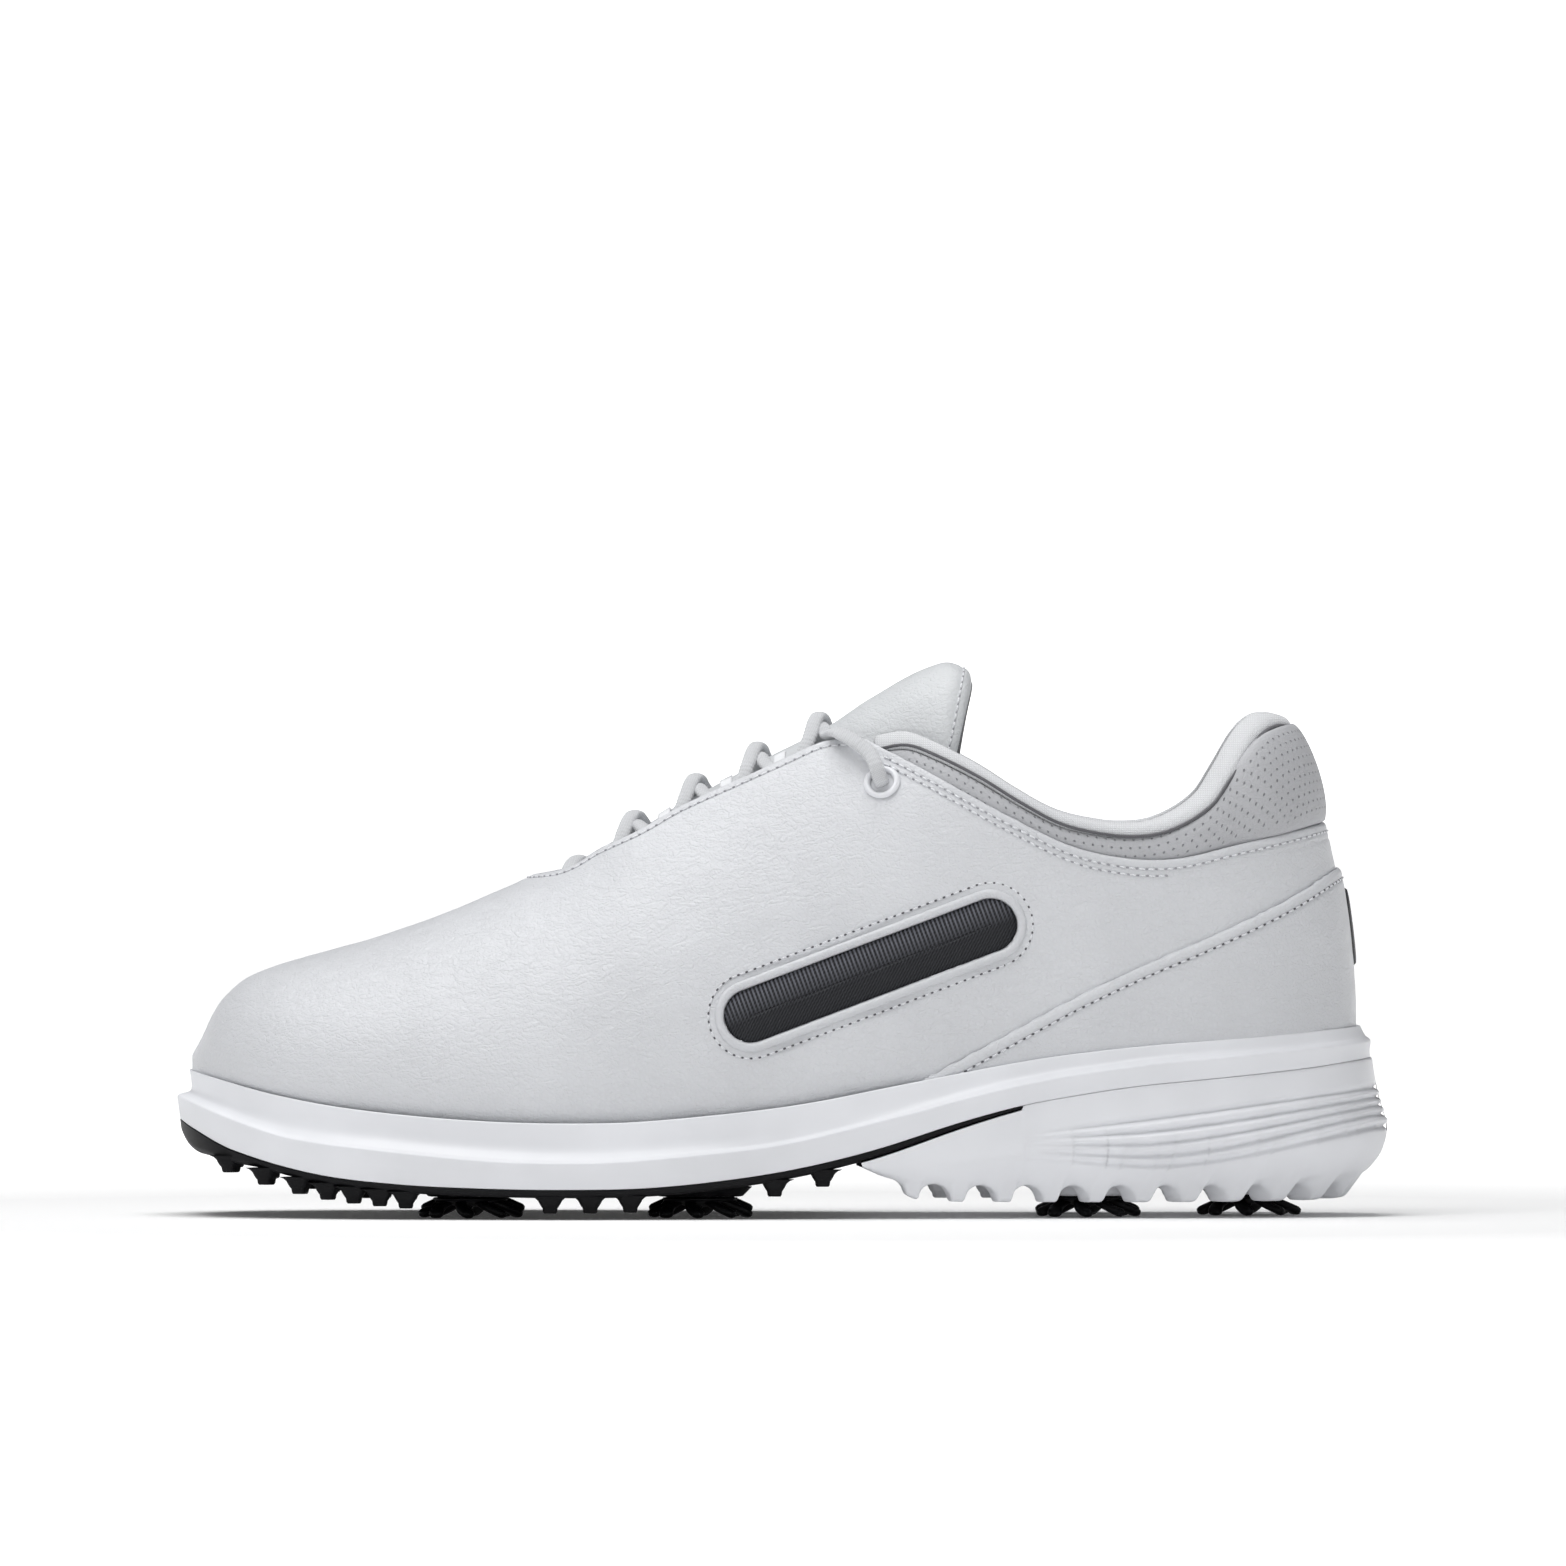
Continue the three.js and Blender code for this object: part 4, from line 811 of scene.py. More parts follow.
def quarter_tops(x, side):
    ahead = turn_where(x, side, throat_limit(side))
    behind = turn_where(x, side, under_line(quarter_edge))
    return np.where(x < THROAT_BACK, ahead, behind)


def upper_undulation(points):
    """Soft unevenness of leather pulled over a last, more of it where the foot bends."""
    flex = np.exp(-((points[..., 0] + 66) / 20) ** 2) * ease(points[..., 2], 40, 60)
    waist = np.exp(-((points[..., 0] - 5) / 45) ** 2) * (1 - ease(points[..., 2], 70, 100))
    return (0.16 + 0.2 * flex + 0.22 * waist) * lattice_noise(points * [1, 1, 1.4], 13, 5) \
        + (0.05 + 0.07 * waist) * lattice_noise(points * [1, 1, 1.8], 5.0, 7)


def vamp_quarter():
    x = full_stations()
    shell = Shell()
    for side in SIDES:
        top = quarter_tops(x, side)
        edge = skin(x, top, side)[x >= THROAT_FRONT]
        turns = turns_by_distance(x, side, np.zeros_like(x), top, EDGE_ROWS, 62)
        points = skin(x[:, None], turns, side)
        e = distance_to(points, resample(edge, 0.35))
        behind = ease(points[..., 0], THROAT_BACK, THROAT_BACK + 4)
        depth = fold_depth(e) + dip(e, STITCH_IN) + dip(e, STITCH_IN + 1.7) * behind
        depth = depth + 1.8 * ease(-bar_distance(points), -0.3, 0.6)
        depth = depth + upper_undulation(points) * ease(e, 3, 9)
        shell.grid(skin(x[:, None], turns, side, depth), side)
    made = thicken(shell.build("vamp_quarter_leather"), 1.3)
    return dress(made, mats["leather"], ["vamp_quarter"])


def heel_overlay():
    stations = full_stations()
    start = 33.5
    x = np.concatenate([np.linspace(start, 37, 9), stations[stations > 37.4]])
    shell = Shell()
    for side in SIDES:
        top = turn_where(x, side, under_line(overlay_edge))
        top = np.maximum(top, 0.004)
        edge = skin(x, top, side)
        turns = turns_by_distance(x, side, np.zeros_like(x), top, EDGE_ROWS, 34)
        points = skin(x[:, None], turns, side)
        e = distance_to(points, resample(edge, 0.35))
        depth = OVERLAY_RAISED + 1.25 * fold_depth(e, 1.1) / 1.1 + dip(e, STITCH_IN + 0.2, 0.5, 0.25)
        depth = depth + 0.10 * lattice_noise(points, 11, 9) * ease(e, 3, 8)
        shell.grid(skin(x[:, None], turns, side, depth), side)
    made = thicken(shell.build("heel_overlay_leather"), 0.9)
    return dress(made, mats["overlay"], ["heel_overlay"])


def collar_panel():
    stations = full_stations()
    x = np.concatenate([np.linspace(22.6, 26, 5), stations[stations > 26.5]])
    shell = Shell()
    for side in SIDES:
        low = turn_where(x, side, under_line(quarter_edge, -5.0))
        seam_turn = turn_where(x, side, under_line(quarter_edge, -0.4))
        behind = ease(x, 118, 130)
        top = turn_where(x, side, under_line(lambda at: topline(at) - 3.6 + 2.8 * ease(at, 122, 130)))
        top = np.maximum(top, low + 0.01)
        share = np.linspace(0, 1, 44)
        turns = low[:, None] + (top - low)[:, None] * share[None, :]
        flat = skin(x[:, None], turns, side)
        base = skin(x, seam_turn, side)
        height = skin(x, top, side)[:, 2] - base[:, 2]
        over = (flat[..., 2] - base[:, 2:3]) / np.maximum(height, 1)[:, None]
        full = np.sin(math.pi * np.clip(over, 0, 1)) ** (0.55 - 0.2 * behind[:, None])
        puff = (np.minimum(1.7, 0.17 * height) + 2.2 * behind)[:, None] * full
        depth = 1.75 - puff + 0.08 * lattice_noise(flat, 9, 3)
        along = np.concatenate([[0], np.cumsum(np.linalg.norm(np.diff(base, axis=0), axis=1))])
        marks = np.zeros((*turns.shape, 3))
        marks[..., 0] = along[:, None]
        marks[..., 1] = skin(x, top, side)[:, None, 2] - flat[..., 2] + 0.4
        marks[..., 2] = (ease(over, 0.10, 0.16) * (1 - ease(over, 0.90, 0.97))
                         * ease(x, 30, 34)[:, None])
        shell.grid(skin(x[:, None], turns, side, depth), side, marks=marks)
    made = thicken(shell.build("collar_panel_leather", use_marks=True), 0.8)
    return dress(made, mats["collar"], ["collar_panel"])


def inner_sheet(name, x, low, high, depth, thickness, rows, extra=swell):
    """A plain layer between two limits, on both sides and round the heel or toe."""
    shell = Shell()
    share = np.linspace(0, 1, rows)
    for side in SIDES:
        bottom = low(x, side)
        top = np.maximum(high(x, side), bottom + 0.002)
        turns = bottom[:, None] + (top - bottom)[:, None] * share[None, :]
        shell.grid(skin(x[:, None], turns, side, depth, extra), side)
    return thicken(shell.build(name), thickness)


def bed_turn(lift):
    """Stops a sheet a little above the feather line."""
    return lambda x, side: turn_where(x, side, lambda p, at: p[..., 2] - feather(at) - lift)


def line_turn(line, shift=0.0, depth=0.0, extra=None):
    return lambda x, side: turn_where(x, side, under_line(line, shift), depth, extra)


def split_line(x):
    return np.interp(x, [27, 50, 64, 180], [108, 82, 74, 74])


# Where the seam between the roll and the panel lies: below the topline, and inside the upper's surface.
ROLL_SEAM_BELOW = 3.4
ROLL_SEAM_DEPTH = 0.95


def collar_roll(shell):
    """The lining's rolled edge, a padded bead along the topline and round the heel."""
    stations = full_stations(1.6, 30)
    x = np.concatenate([[23.6, 24.6, 26], stations[stations > 27]])
    halves, seams = [], []
    for side in SIDES:
        z = topline(x)
        for _ in range(10):
            at = wall_point(x, z - 2.4, side, 1.7)[:, 0]
            z = topline(at) - 2.4 * ease(at, 127, 131.5)
        padding = swell(x, z)
        width = (LINING_DEPTH + 1.0 + padding - 1.7) / 2
        centre = 1.7 + width
        angles = np.linspace(0, 2 * math.pi, 20, endpoint=False)
        ring = []
        for c, s in zip(*squared_circle(angles, 2 / 0.85)):
            outward = -0.7 if c < 0 else 0.0
            ring.append(wall_point(x, z - 2.25 + 2.25 * s, side, centre + (width + abs(outward)) * c))
        halves.append(np.stack(ring, 1))
        seams.append(wall_point(x, z - ROLL_SEAM_BELOW, side, ROLL_SEAM_DEPTH))
    whole = np.concatenate([halves[0], halves[1][::-1][1:]])
    shell.cap_ends(shell.grid(whole, MEDIAL, wrap=True))
    return np.concatenate([seams[0], seams[1][::-1][1:]])


def collar_lining():
    shell = Shell()
    seam_line = collar_roll(shell)
    roll = shell.build("collar_lining_roll")
    # A thin dark tube along the seam: painted shadow in the crease under the roll.
    cord = Shell()
    core = np.stack([seam_line[:, 0] * 0.8 + 14, 0 * seam_line[:, 0], seam_line[:, 2]], 1)
    tube(cord, seam_line, unit(seam_line - core), 0.42, 0.36, faces=8)
    dress(cord.build("collar_seam_shadow", weld=0), mats["dark_painted_shade"])
    stations = full_stations(1.8, 30)
    x = stations[stations > 24]
    sheet = inner_sheet("collar_lining_textile", x, line_turn(split_line, 0, LINING_DEPTH, swell),
                        line_turn(topline, -2.4, LINING_DEPTH, swell), LINING_DEPTH, 0.9, 24)
    dress(roll, mats["lining"])
    return dress(sheet, mats["lining"], ["collar_lining"])


def quarter_lining():
    stations = full_stations(2.2, 26)
    x = np.concatenate([[-22], stations[stations > -21]])

    def top(at, side):
        ahead = turn_where(at, side, throat_limit(side), LINING_DEPTH, swell)
        behind = turn_where(at, side, under_line(split_line), LINING_DEPTH, swell)
        return np.where(at < 27, ahead, behind)

    made = inner_sheet("quarter_lining_textile", x, bed_turn(4.4), top, LINING_DEPTH, 0.9, 30)
    return dress(made, mats["lining"], ["quarter_lining"])


def vamp_lining():
    stations = full_stations(2.4, 24)
    x = stations[stations < -22.3]

    def top(at, side):
        return turn_where(at, side, throat_limit(side), LINING_DEPTH, swell)

    made = inner_sheet("vamp_lining_textile", x, bed_turn(4.4), top, LINING_DEPTH, 0.9, 30)
    return dress(made, mats["lining"], ["vamp_lining"])


def stiffeners():
    """The hidden board pieces between leather and lining."""
    stations = full_stations(3.0, 16)
    heel = inner_sheet("heel_counter_board", stations[stations > 72], bed_turn(4.4),
                       line_turn(quarter_edge, -8.6, 1.8), 1.8, 0.8, 12, None)
    toe = inner_sheet("toe_puff_board", stations[stations < -108], bed_turn(4.4),
                      lambda x, side: np.ones_like(x), 1.8, 0.8, 14, None)
    dress(heel, mats["board"], ["heel_counter"])
    dress(toe, mats["board"], ["toe_puff"])


# ---------------------------------------------------------------- stitching and trim


def throat_path(side, offset, depth=0.0):
    """A line round one side of the throat, moved outwards over the leather by an offset."""
    angles = np.linspace(0, math.pi / 2, 40)
    x = np.concatenate([THROAT_ROUND_FROM + (THROAT_FRONT - THROAT_ROUND_FROM) * np.cos(angles),
                        np.arange(THROAT_ROUND_FROM + 0.5, THROAT_BACK - 1.5, 0.8)])
    y = crest_shift(x) + side * throat_reach(x, side)
    flat = np.stack([x, y], 1)
    direction = np.gradient(flat, axis=0)
    direction /= np.linalg.norm(direction, axis=1, keepdims=True)
    outward = np.stack([-direction[:, 1], direction[:, 0]], 1) * side
    height = crown_height(flat[:, 0], flat[:, 1])
    probe = crown_height(flat[:, 0] + outward[:, 0] * 0.5, flat[:, 1] + outward[:, 1] * 0.5)
    slope = (probe - height) / 0.5
    moved = flat + outward * (offset / np.sqrt(1 + slope ** 2))[:, None]
    return np.stack([moved[:, 0], moved[:, 1], crown_height(moved[:, 0], moved[:, 1], depth)], 1)


def line_path(line, shift, side, start, depth=0.0, end=None):
    """A line along an edge seen from the side, moved down by an amount, round to the heel's middle."""
    stations = full_stations(1.0, 40)
    x = stations[stations > start]
    if end is not None:
        x = x[x < end]
    return skin(x, turn_where(x, side, under_line(line, -shift)), side, depth)


def both_sides(make):
    """One line from the outer side round the heel to the inner side."""
    return np.concatenate([make(LATERAL), make(MEDIAL)[::-1][1:]])


def bar_path(grow, side, depth):
    outline = bar_outline(grow, 72)
    x, z = outline[:, 0].copy(), outline[:, 1]
    station = x.copy()
    for _ in range(6):
        point = wall_point(station, z, side, depth)
        station = station + x - point[:, 0]
    return wall_point(station, z, side, depth)


def edge_row(into, holes, line, shift, start, depth):
    """A row of stitches along an edge, round the heel from side to side."""
    row = both_sides(lambda side: line_path(line, shift, side, start, depth))
    beside = both_sides(lambda side: line_path(line, shift + STITCH_WIDTH, side, start, depth))
    stitches(into, row, beside, holes)


def stitching():
    # The grey and dark dots between the stitches are painted shade in the needle holes.
    thread_rows, grey_hole_shades, dark_hole_shades, overlay_rows = Shell(), Shell(), Shell(), Shell()
    for side in SIDES:
        start = 0.0 if side == LATERAL else 1.2
        stitches(thread_rows, throat_path(side, STITCH_IN, 0.05), throat_path(side, STITCH_IN + 0.6, 0.05),
                 grey_hole_shades, start=start)
        stitches(thread_rows, bar_path(3.6, side, -0.02), bar_path(4.2, side, -0.02), dark_hole_shades,
                 pitch=2.2, length=1.4, closed=True)
    edge_row(thread_rows, grey_hole_shades, quarter_edge, STITCH_IN, 24.5, 0.05)
    for side in SIDES:
        row = line_path(quarter_edge, STITCH_IN + 1.7, side, 24.5, 0.05, SECOND_ROW_END)
        beside = line_path(quarter_edge, STITCH_IN + 2.3, side, 24.5, 0.05, SECOND_ROW_END)
        stitches(thread_rows, row, beside, grey_hole_shades)
    edge_row(overlay_rows, dark_hole_shades, overlay_edge, STITCH_IN + 0.4, 38.5, -1.28)
    dress(thread_rows.build("upper_stitching", weld=0), mats["thread"])
    dress(overlay_rows.build("heel_overlay_stitching", weld=0), mats["thread"])
    dress(grey_hole_shades.build("upper_needle_hole_shades", weld=0), mats["grey_painted_shade"])
    dress(dark_hole_shades.build("trim_needle_hole_shades", weld=0), mats["dark_painted_shade"])


def side_inlays():
    for side in SIDES:
        word = SIDE_WORDS[side]
        rings = []
        for share in np.linspace(0.0, 1.0, 9):
            shrink = -0.4 - (BAR_HALF - 0.45) * share
            crown = -0.35 * (1 - (1 - share) ** 3)
            rings.append(bar_path(shrink, side, 0.55 + crown))
        shell = Shell()
        shell.grid(np.stack(rings), -side, wrap=True)
        inlay = thicken(shell.build(f"side_inlay_{word}_satin"), 0.6)
        dress(inlay, mats["satin"], [f"side_inlay_{word}"])
        shell = Shell()
        line = bar_path(0.9, side, 0.1)
        out = unit(bar_path(0.9, side, -1.0) - line)
        tube(shell, line, out, 1.15, 0.95, faces=12, closed=True)
        dress(shell.build(f"side_piping_{word}"), mats["overlay"])


def heel_patch():
    """A plain dark bar with round ends, up the middle of the heel."""
    low, high = box_mm("heel_patch")
    heights = np.linspace(low[2] - 0.5, high[2] + 0.5, 26)
    middle_z = (heights[0] + heights[-1]) / 2
    reach = (heights[-1] - heights[0]) / 2
    y = (low[1] + high[1]) / 2
    half = (high[1] - low[1]) / 2
    station = np.full(len(heights), UPPER_HEEL)
    wall = crest(station) - feather(station)
    rise = (heights - feather(station)) / wall
    back = place(station, 0 * heights, rise, OVERLAY_RAISED)
    for _ in range(5):
        rise = rise + (heights - back[:, 2]) / wall
        back = place(station, 0 * heights, rise, OVERLAY_RAISED)
    shell = Shell()
    rows = []
    for x, z in zip(back[:, 0], heights):
        over = max(0.0, abs(z - middle_z) - (reach - half))
        width = math.sqrt(max(0.0, half ** 2 - over ** 2))
        across = np.linspace(-1, 1, 13)
        bulge = 1.0 * np.sqrt(np.maximum(0, 1 - across ** 4)) * (width / half) ** 0.35
        offset = y + across * max(width, 0.01)
        sink = (offset - y) ** 2 * 0.012
        rows.append(np.stack([x - 0.25 + bulge - sink, offset, np.full(13, z)], 1))
    shell.grid(np.stack(rows), MEDIAL)
    made = thicken(shell.build("heel_patch_bar", weld=0.005), 1.0)
    dress(made, mats["patch"], ["heel_patch"])


# ---------------------------------------------------------------- tongue

TONGUE_FRONT = -70.0
TONGUE_END = 47.4
END_ROUNDING = 5.6
END_ROLL = 5.6
PUFF = 0.75
SIDE_DROOP = 2.6
PAD_THICKNESS = 4.9


def tongue_surface(share_along, share_across):
    """A point over the tongue: shares run from its front to its end, and from -1 to 1 across."""
    end = TONGUE_END - END_ROUNDING * np.abs(share_across) ** 3.5
    x = TONGUE_FRONT + (end - TONGUE_FRONT) * share_along
    y = crest_shift(x) + share_across * tongue_half(x)
    flat = crown_height(x.ravel(), y.ravel(), TONGUE_DEPTH).reshape(x.shape)
    return np.stack([x, y, flat], -1)


def tongue_layers(u, v):
    """The pad's top and underside: thin at its sewn sides, and rounded over at its free end."""
    surface = tongue_surface(u, v)
    from_side = (1 - np.abs(v)) * tongue_half(surface[..., 0])
    from_end = (1 - u) * (TONGUE_END - TONGUE_FRONT)
    fullness = ease(from_side, 1.0, 6.5)
    exposed = ease(surface[..., 0], 11, 22)
    rolled = (1 - np.sqrt(1 - (1 - np.clip(from_end / END_ROLL, 0, 1)) ** 2)) * END_ROLL
    puff = exposed * PUFF * fullness * ease(from_end, 1.5, 7)
    seam_dip = dip(np.minimum(from_side, from_end), STITCH_IN, 0.5, 0.3) * exposed
    droop = SIDE_DROOP * ease(np.abs(v), 0.6, 1.0) * ease(surface[..., 0], 20, 34)
    top = surface.copy()
    top[..., 2] += puff - seam_dip - rolled - droop - 0.5 * fold_depth(from_side, 0.9) \
        + 0.15 * lattice_noise(surface, 10, 21) * fullness
    under = surface.copy()
    under[..., 2] -= 1.5 + (PAD_THICKNESS - 1.5) * fullness - rolled * 0.6 * fullness + droop
    under[..., 2] = np.minimum(under[..., 2], top[..., 2] - 0.6)
    return top, under


def tongue_pad(name, rows=150, columns=45):
    along = 1 - (1 - np.linspace(0, 1, rows)) ** 1.25
    across = np.sin(np.linspace(-math.pi / 2, math.pi / 2, columns))
    top, under = tongue_layers(*np.meshgrid(along, across, indexing="ij"))
    shell = Shell()
    shell.grid(top, LATERAL)
    shell.grid(under, MEDIAL)
    side_faces(shell, top, under)
    return shell.build(name, weld=0.004)


def side_faces(shell, top, under):
    """Closes the rim between two grids of the same size."""
    def border(grid):
        return np.concatenate([grid[0, :-1], grid[:-1, -1], grid[-1, :0:-1], grid[:0:-1, 0]])
    ring = np.stack([border(under), border(top)])
    shell.grid(np.concatenate([ring, ring[:, :1]], 1), LATERAL)


def tongue():
    shell = tongue_pad("tongue_shell_leather")
    dress(shell, mats["tongue"], ["tongue_shell", "tongue_foam"], "tongue")
    lining = tongue_lining_sheet()
    dress(lining, mats["lining_dark"], ["tongue_lining"], "tongue")
    # The grey dots between the stitches are painted shade in the needle holes.
    rows, holes = Shell(), Shell()
    shown = 0.86
    border = np.concatenate([
        [(u, -1) for u in np.linspace(shown, 1, 30)], [(1, v) for v in np.linspace(-1, 1, 60)[1:-1]],
        [(u, 1) for u in np.linspace(1, shown, 30)]])

    def inset_line(amount):
        length = TONGUE_END - TONGUE_FRONT
        u = np.minimum(border[:, 0], 1 - amount / length)
        v = border[:, 1] * (1 - amount / 20.0)
        line = tongue_layers(u, v)[0]
        line[:, 2] += 0.12
        return resample(line, 0.5)

    stitches(rows, inset_line(1.9), inset_line(2.6), holes, pitch=2.3, length=1.5, radius=0.24)
    dress(rows.build("tongue_stitching", weld=0), mats["thread"], body="tongue")
    dress(holes.build("tongue_needle_hole_shades", weld=0), mats["grey_painted_shade"], body="tongue")


def tongue_lining_sheet():
    along = np.linspace(0.02, 1.0, 110)
    across = np.linspace(-1.0, 1.0, 33)
    under = tongue_layers(*np.meshgrid(along, across, indexing="ij"))[1]
    under[..., 0] += 0.25 * ease(under[..., 0], 30, 45)
    under[..., 2] -= 0.05
    shell = Shell()
    shell.grid(under, LATERAL)
    return thicken(shell.build("tongue_lining_textile"), 0.7)


# ---------------------------------------------------------------- lacing

LACE_WIDE = 1.85
LACE_THICK = 1.05
LACE_STEP = 0.28
RIB_PITCH = 1.35
CROSSINGS = (9.0, -6.5, -22.0, -37.6, -52.0)
CROSSING_REACH = 4.2
LACE_BAR_X = -58.6
LACE_FACES = 27.0
EYELET_X = 24.9
EYELET_Z = 108.8
SOCKLINER_TOP = 7.5


def eyelet_frame(side):
    """A place and directions for the eyelet: w points out of the leather."""
    at = wall_point(EYELET_X, EYELET_Z, side)[0]
    along = wall_point(EYELET_X + 2, EYELET_Z, side)[0] - at
    up = wall_point(EYELET_X, EYELET_Z + 2, side)[0] - at
    w = unit(np.cross(along, up) * -side)
    u = unit(along)
    return at, u, np.cross(w, u), w


def crown_at(x, y, depth):
    """The CAD's own height of the crown at a station, which its cord routes use."""
    power = squareness(x)
    rise = 1.0
    for _ in range(8):
        centre = middle(x) * (1 - rise) + crest_shift(x) * rise
        rise = (1 - (abs(y - centre) / (upper_width(x) - depth)) ** power) ** (1 / power)
    return float(place(x, 0.0, rise, depth)[2])


def beside_edge(x, side):
    y = float(crest_shift(x) + side * throat_reach(x, side)[0] - side * 4)
    return [x, y, crown_at(x, y, 4.7)]


def over_tongue(x, across, lift):
    y = float(crest_shift(x)) + across
    return [x, y, crown_at(x, y, TONGUE_DEPTH - LACE_THICK - 0.9) + lift]


def over_eyelet(side):
    at, u, v, w = eyelet_frame(side)

    def off(a, b, c):
        return list(at + u * a - v * side * b + w * c)

    start = list(wall_point(13.4, 121.3, side, -4.2)[0])
    return [start, off(-3, 6.4, 3.6), off(-0.7, 2.2, 3.8), off(0, 0.1, 1.9), off(0, 0, -1.5)]


def strand(first, upper_first):
    made = []
    for k, x in enumerate(CROSSINGS):
        side = first if k % 2 == 0 else -first
        lift = 2 * LACE_THICK + 0.3 if (k % 2 == 0) == upper_first else 0.0
        made += [over_tongue(x - across * 0.27, side * across, lift * (1 - 0.3 * (across / 8) ** 2))
                 for across in (-8, -4, 0, 4, 8)]
        if k + 1 < len(CROSSINGS):
            made += [beside_edge(x - CROSSING_REACH, side),
                     beside_edge(CROSSINGS[k + 1] + CROSSING_REACH, side)]
        else:
            made.append(beside_edge(LACE_BAR_X + 2.6, side))
    return made


def lace_route():
    down = over_eyelet(LATERAL)[::-1] + strand(MEDIAL, False)
    back = over_eyelet(MEDIAL)[::-1] + strand(LATERAL, True)
    return np.array(down + [over_tongue(LACE_BAR_X, 0, 0)] + back[::-1])


def lace_end_route(side):
    """The tucked end: down inside the wall from the eyelet, then forward along the edge of the sockliner."""
    at, _, _, w = eyelet_frame(side)
    inside = [list(at + w * c) for c in (0.1, -2.4, -5.2)]
    wall = [list(wall_point(x, z, side, 4.0 + LACE_WIDE + 0.8, swell)[0])
            for x, z in ((26.5, 101), (28, 91), (29, 78), (28, 64), (24, 52))]
    over_bed = SOCKLINER_TOP + LACE_WIDE + 0.7
    bed = [[x, float(middle(x) + side * (upper_width(x) - edge)), float(feather(x)) + over_bed]
           for x, edge in ((14, 10.2), (0, 10.2), (-16, 10.2), (-34, 10.4), (-52, 11), (-68, 12), (-80, 14),
                           (-86, 20), (-80, 26), (-66, 27), (-50, 27))]
    return np.array(inside + wall + bed)


def ribbed_lace(name, line):
    """A braided lace of oval section, with fine ribs across it."""
    line = resample(line, LACE_STEP)
    core = np.stack([line[:, 0], crest_shift(line[:, 0]), crest(line[:, 0]) - LACE_FACES], 1)
    out = unit(line - core)
    along = np.arange(len(line)) * LACE_STEP
    ribs = 0.2 * np.abs(np.sin(math.pi * along / RIB_PITCH)) ** 0.6
    shell = Shell()
    tube(shell, line, out, LACE_WIDE - 0.14 + ribs, LACE_THICK - 0.14 + ribs, faces=20, power=2.25)
    return shell.build(name, weld=0)


def laces():
    lace = ribbed_lace("lace_braid", spline(lace_route(), 14))
    dress(lace, mats["lace"], ["lace"])
    for side in SIDES:
        word = SIDE_WORDS[side]
        route = spline(lace_end_route(side), 14)
        end = ribbed_lace(f"lace_end_{word}_braid", route)
        dress(end, mats["lace"], [f"lace_end_{word}"])
        tip = aglet(side, route)


def aglet(side, route):
    word = SIDE_WORDS[side]
    direction = unit(route[-1] - route[-2])
    shares = np.array([0.0, 0.02, 0.05, 0.3, 0.6, 0.93, 0.98, 1.0])
    sizes = np.array([1.30, 1.46, 1.5, 1.48, 1.46, 1.4, 1.1, 0.5])
    line = route[-1] + direction * (0.3 + 20 * shares)[:, None]
    shell = Shell()
    tube(shell, line, np.tile([0.0, 0.0, 1.0], (len(line), 1)), sizes, sizes, faces=18)
    made = shell.build(f"aglet_{word}_film", weld=0)
    return dress(made, mats["aglet"], [f"aglet_{word}"])


def eyelets():
    for side in SIDES:
        word = SIDE_WORDS[side]
        at, u, v, w = eyelet_frame(side)
        turn = np.linspace(0, 2 * math.pi, 56, endpoint=False)
        profile = [(2.95, 2.75, -2.6), (2.95, 2.75, 0.2), (3.15, 2.95, 0.85), (3.7, 3.45, 1.25),
                   (4.3, 3.95, 1.1), (4.72, 4.32, 0.6), (4.8, 4.4, 0.02), (3.7, 3.4, 0.02), (3.7, 3.4, -2.6)]
        rings = [at + u * (rx * np.cos(turn))[:, None] + v * (ry * np.sin(turn))[:, None] + w * c
                 for rx, ry, c in profile]
        shell = Shell()
        shell.grid(np.stack(rings + rings[:1]), -side, wrap=True)
        made = shell.build(f"eyelet_{word}_ring")
        made.modifiers.new("smooth", "SUBSURF").levels = 1
        dress(made, mats["eyelet"], [f"eyelet_{word}"])
        # A dark sleeve inside the hole: painted shade in the eyelet's hollow, round the lace.
        sleeve = [at + u * (2.9 * np.cos(turn))[:, None] + v * (2.7 * np.sin(turn))[:, None] + w * c
                  for c in (0.1, -2.5)]
        shell = Shell()
        shell.grid(np.stack(sleeve), side, wrap=True)
        dress(shell.build(f"eyelet_{word}_hollow"), mats["dark_painted_shade"])


LOOP_OUTLINE = ((2.4, 2.3), (0, 2.3), (-1.6, 2.6), (-4, 3.0), (-5.8, 3.5), (-6.5, 4.2), (-6.5, 5.6),
                (-5.9, 6.5), (-4, 6.8), (-2, 6.6), (-1.4, 6.0), (-1.3, 3.5), (-0.9, 2.9))


def lace_loops():
    """Webbing bands that come out from under the leather's edge and wrap the lace."""
    places = [(a + b) / 2 for a, b in zip(CROSSINGS[:4], CROSSINGS[1:])]
    places[0] -= 2.1
    for side in SIDES:
        for k, x in enumerate(places):
            outline = spline(np.array([[out, depth, 0] for out, depth in LOOP_OUTLINE]), 4)[:, :2]
            rows = []
            for across in np.linspace(-1.45, 1.45, 6):
                edge = float(crest_shift(x + across) + side * throat_reach(x + across, side)[0])
                rows.append([[x + across, edge + side * out, crown_at(x + across, edge + side * out, depth)]
                             for out, depth in outline])
            shell = Shell()
            shell.grid(np.array(rows), side)
            name = f"lace_loop_{SIDE_WORDS[side]}_{k + 1}"
            made = thicken(shell.build(name + "_webbing"), 0.5)
            dress(made, mats["webbing"], [name])


# ---------------------------------------------------------------- sole


def sole_shares(count=260):
    return (1 - np.cos(np.linspace(0, math.pi, count))) / 2


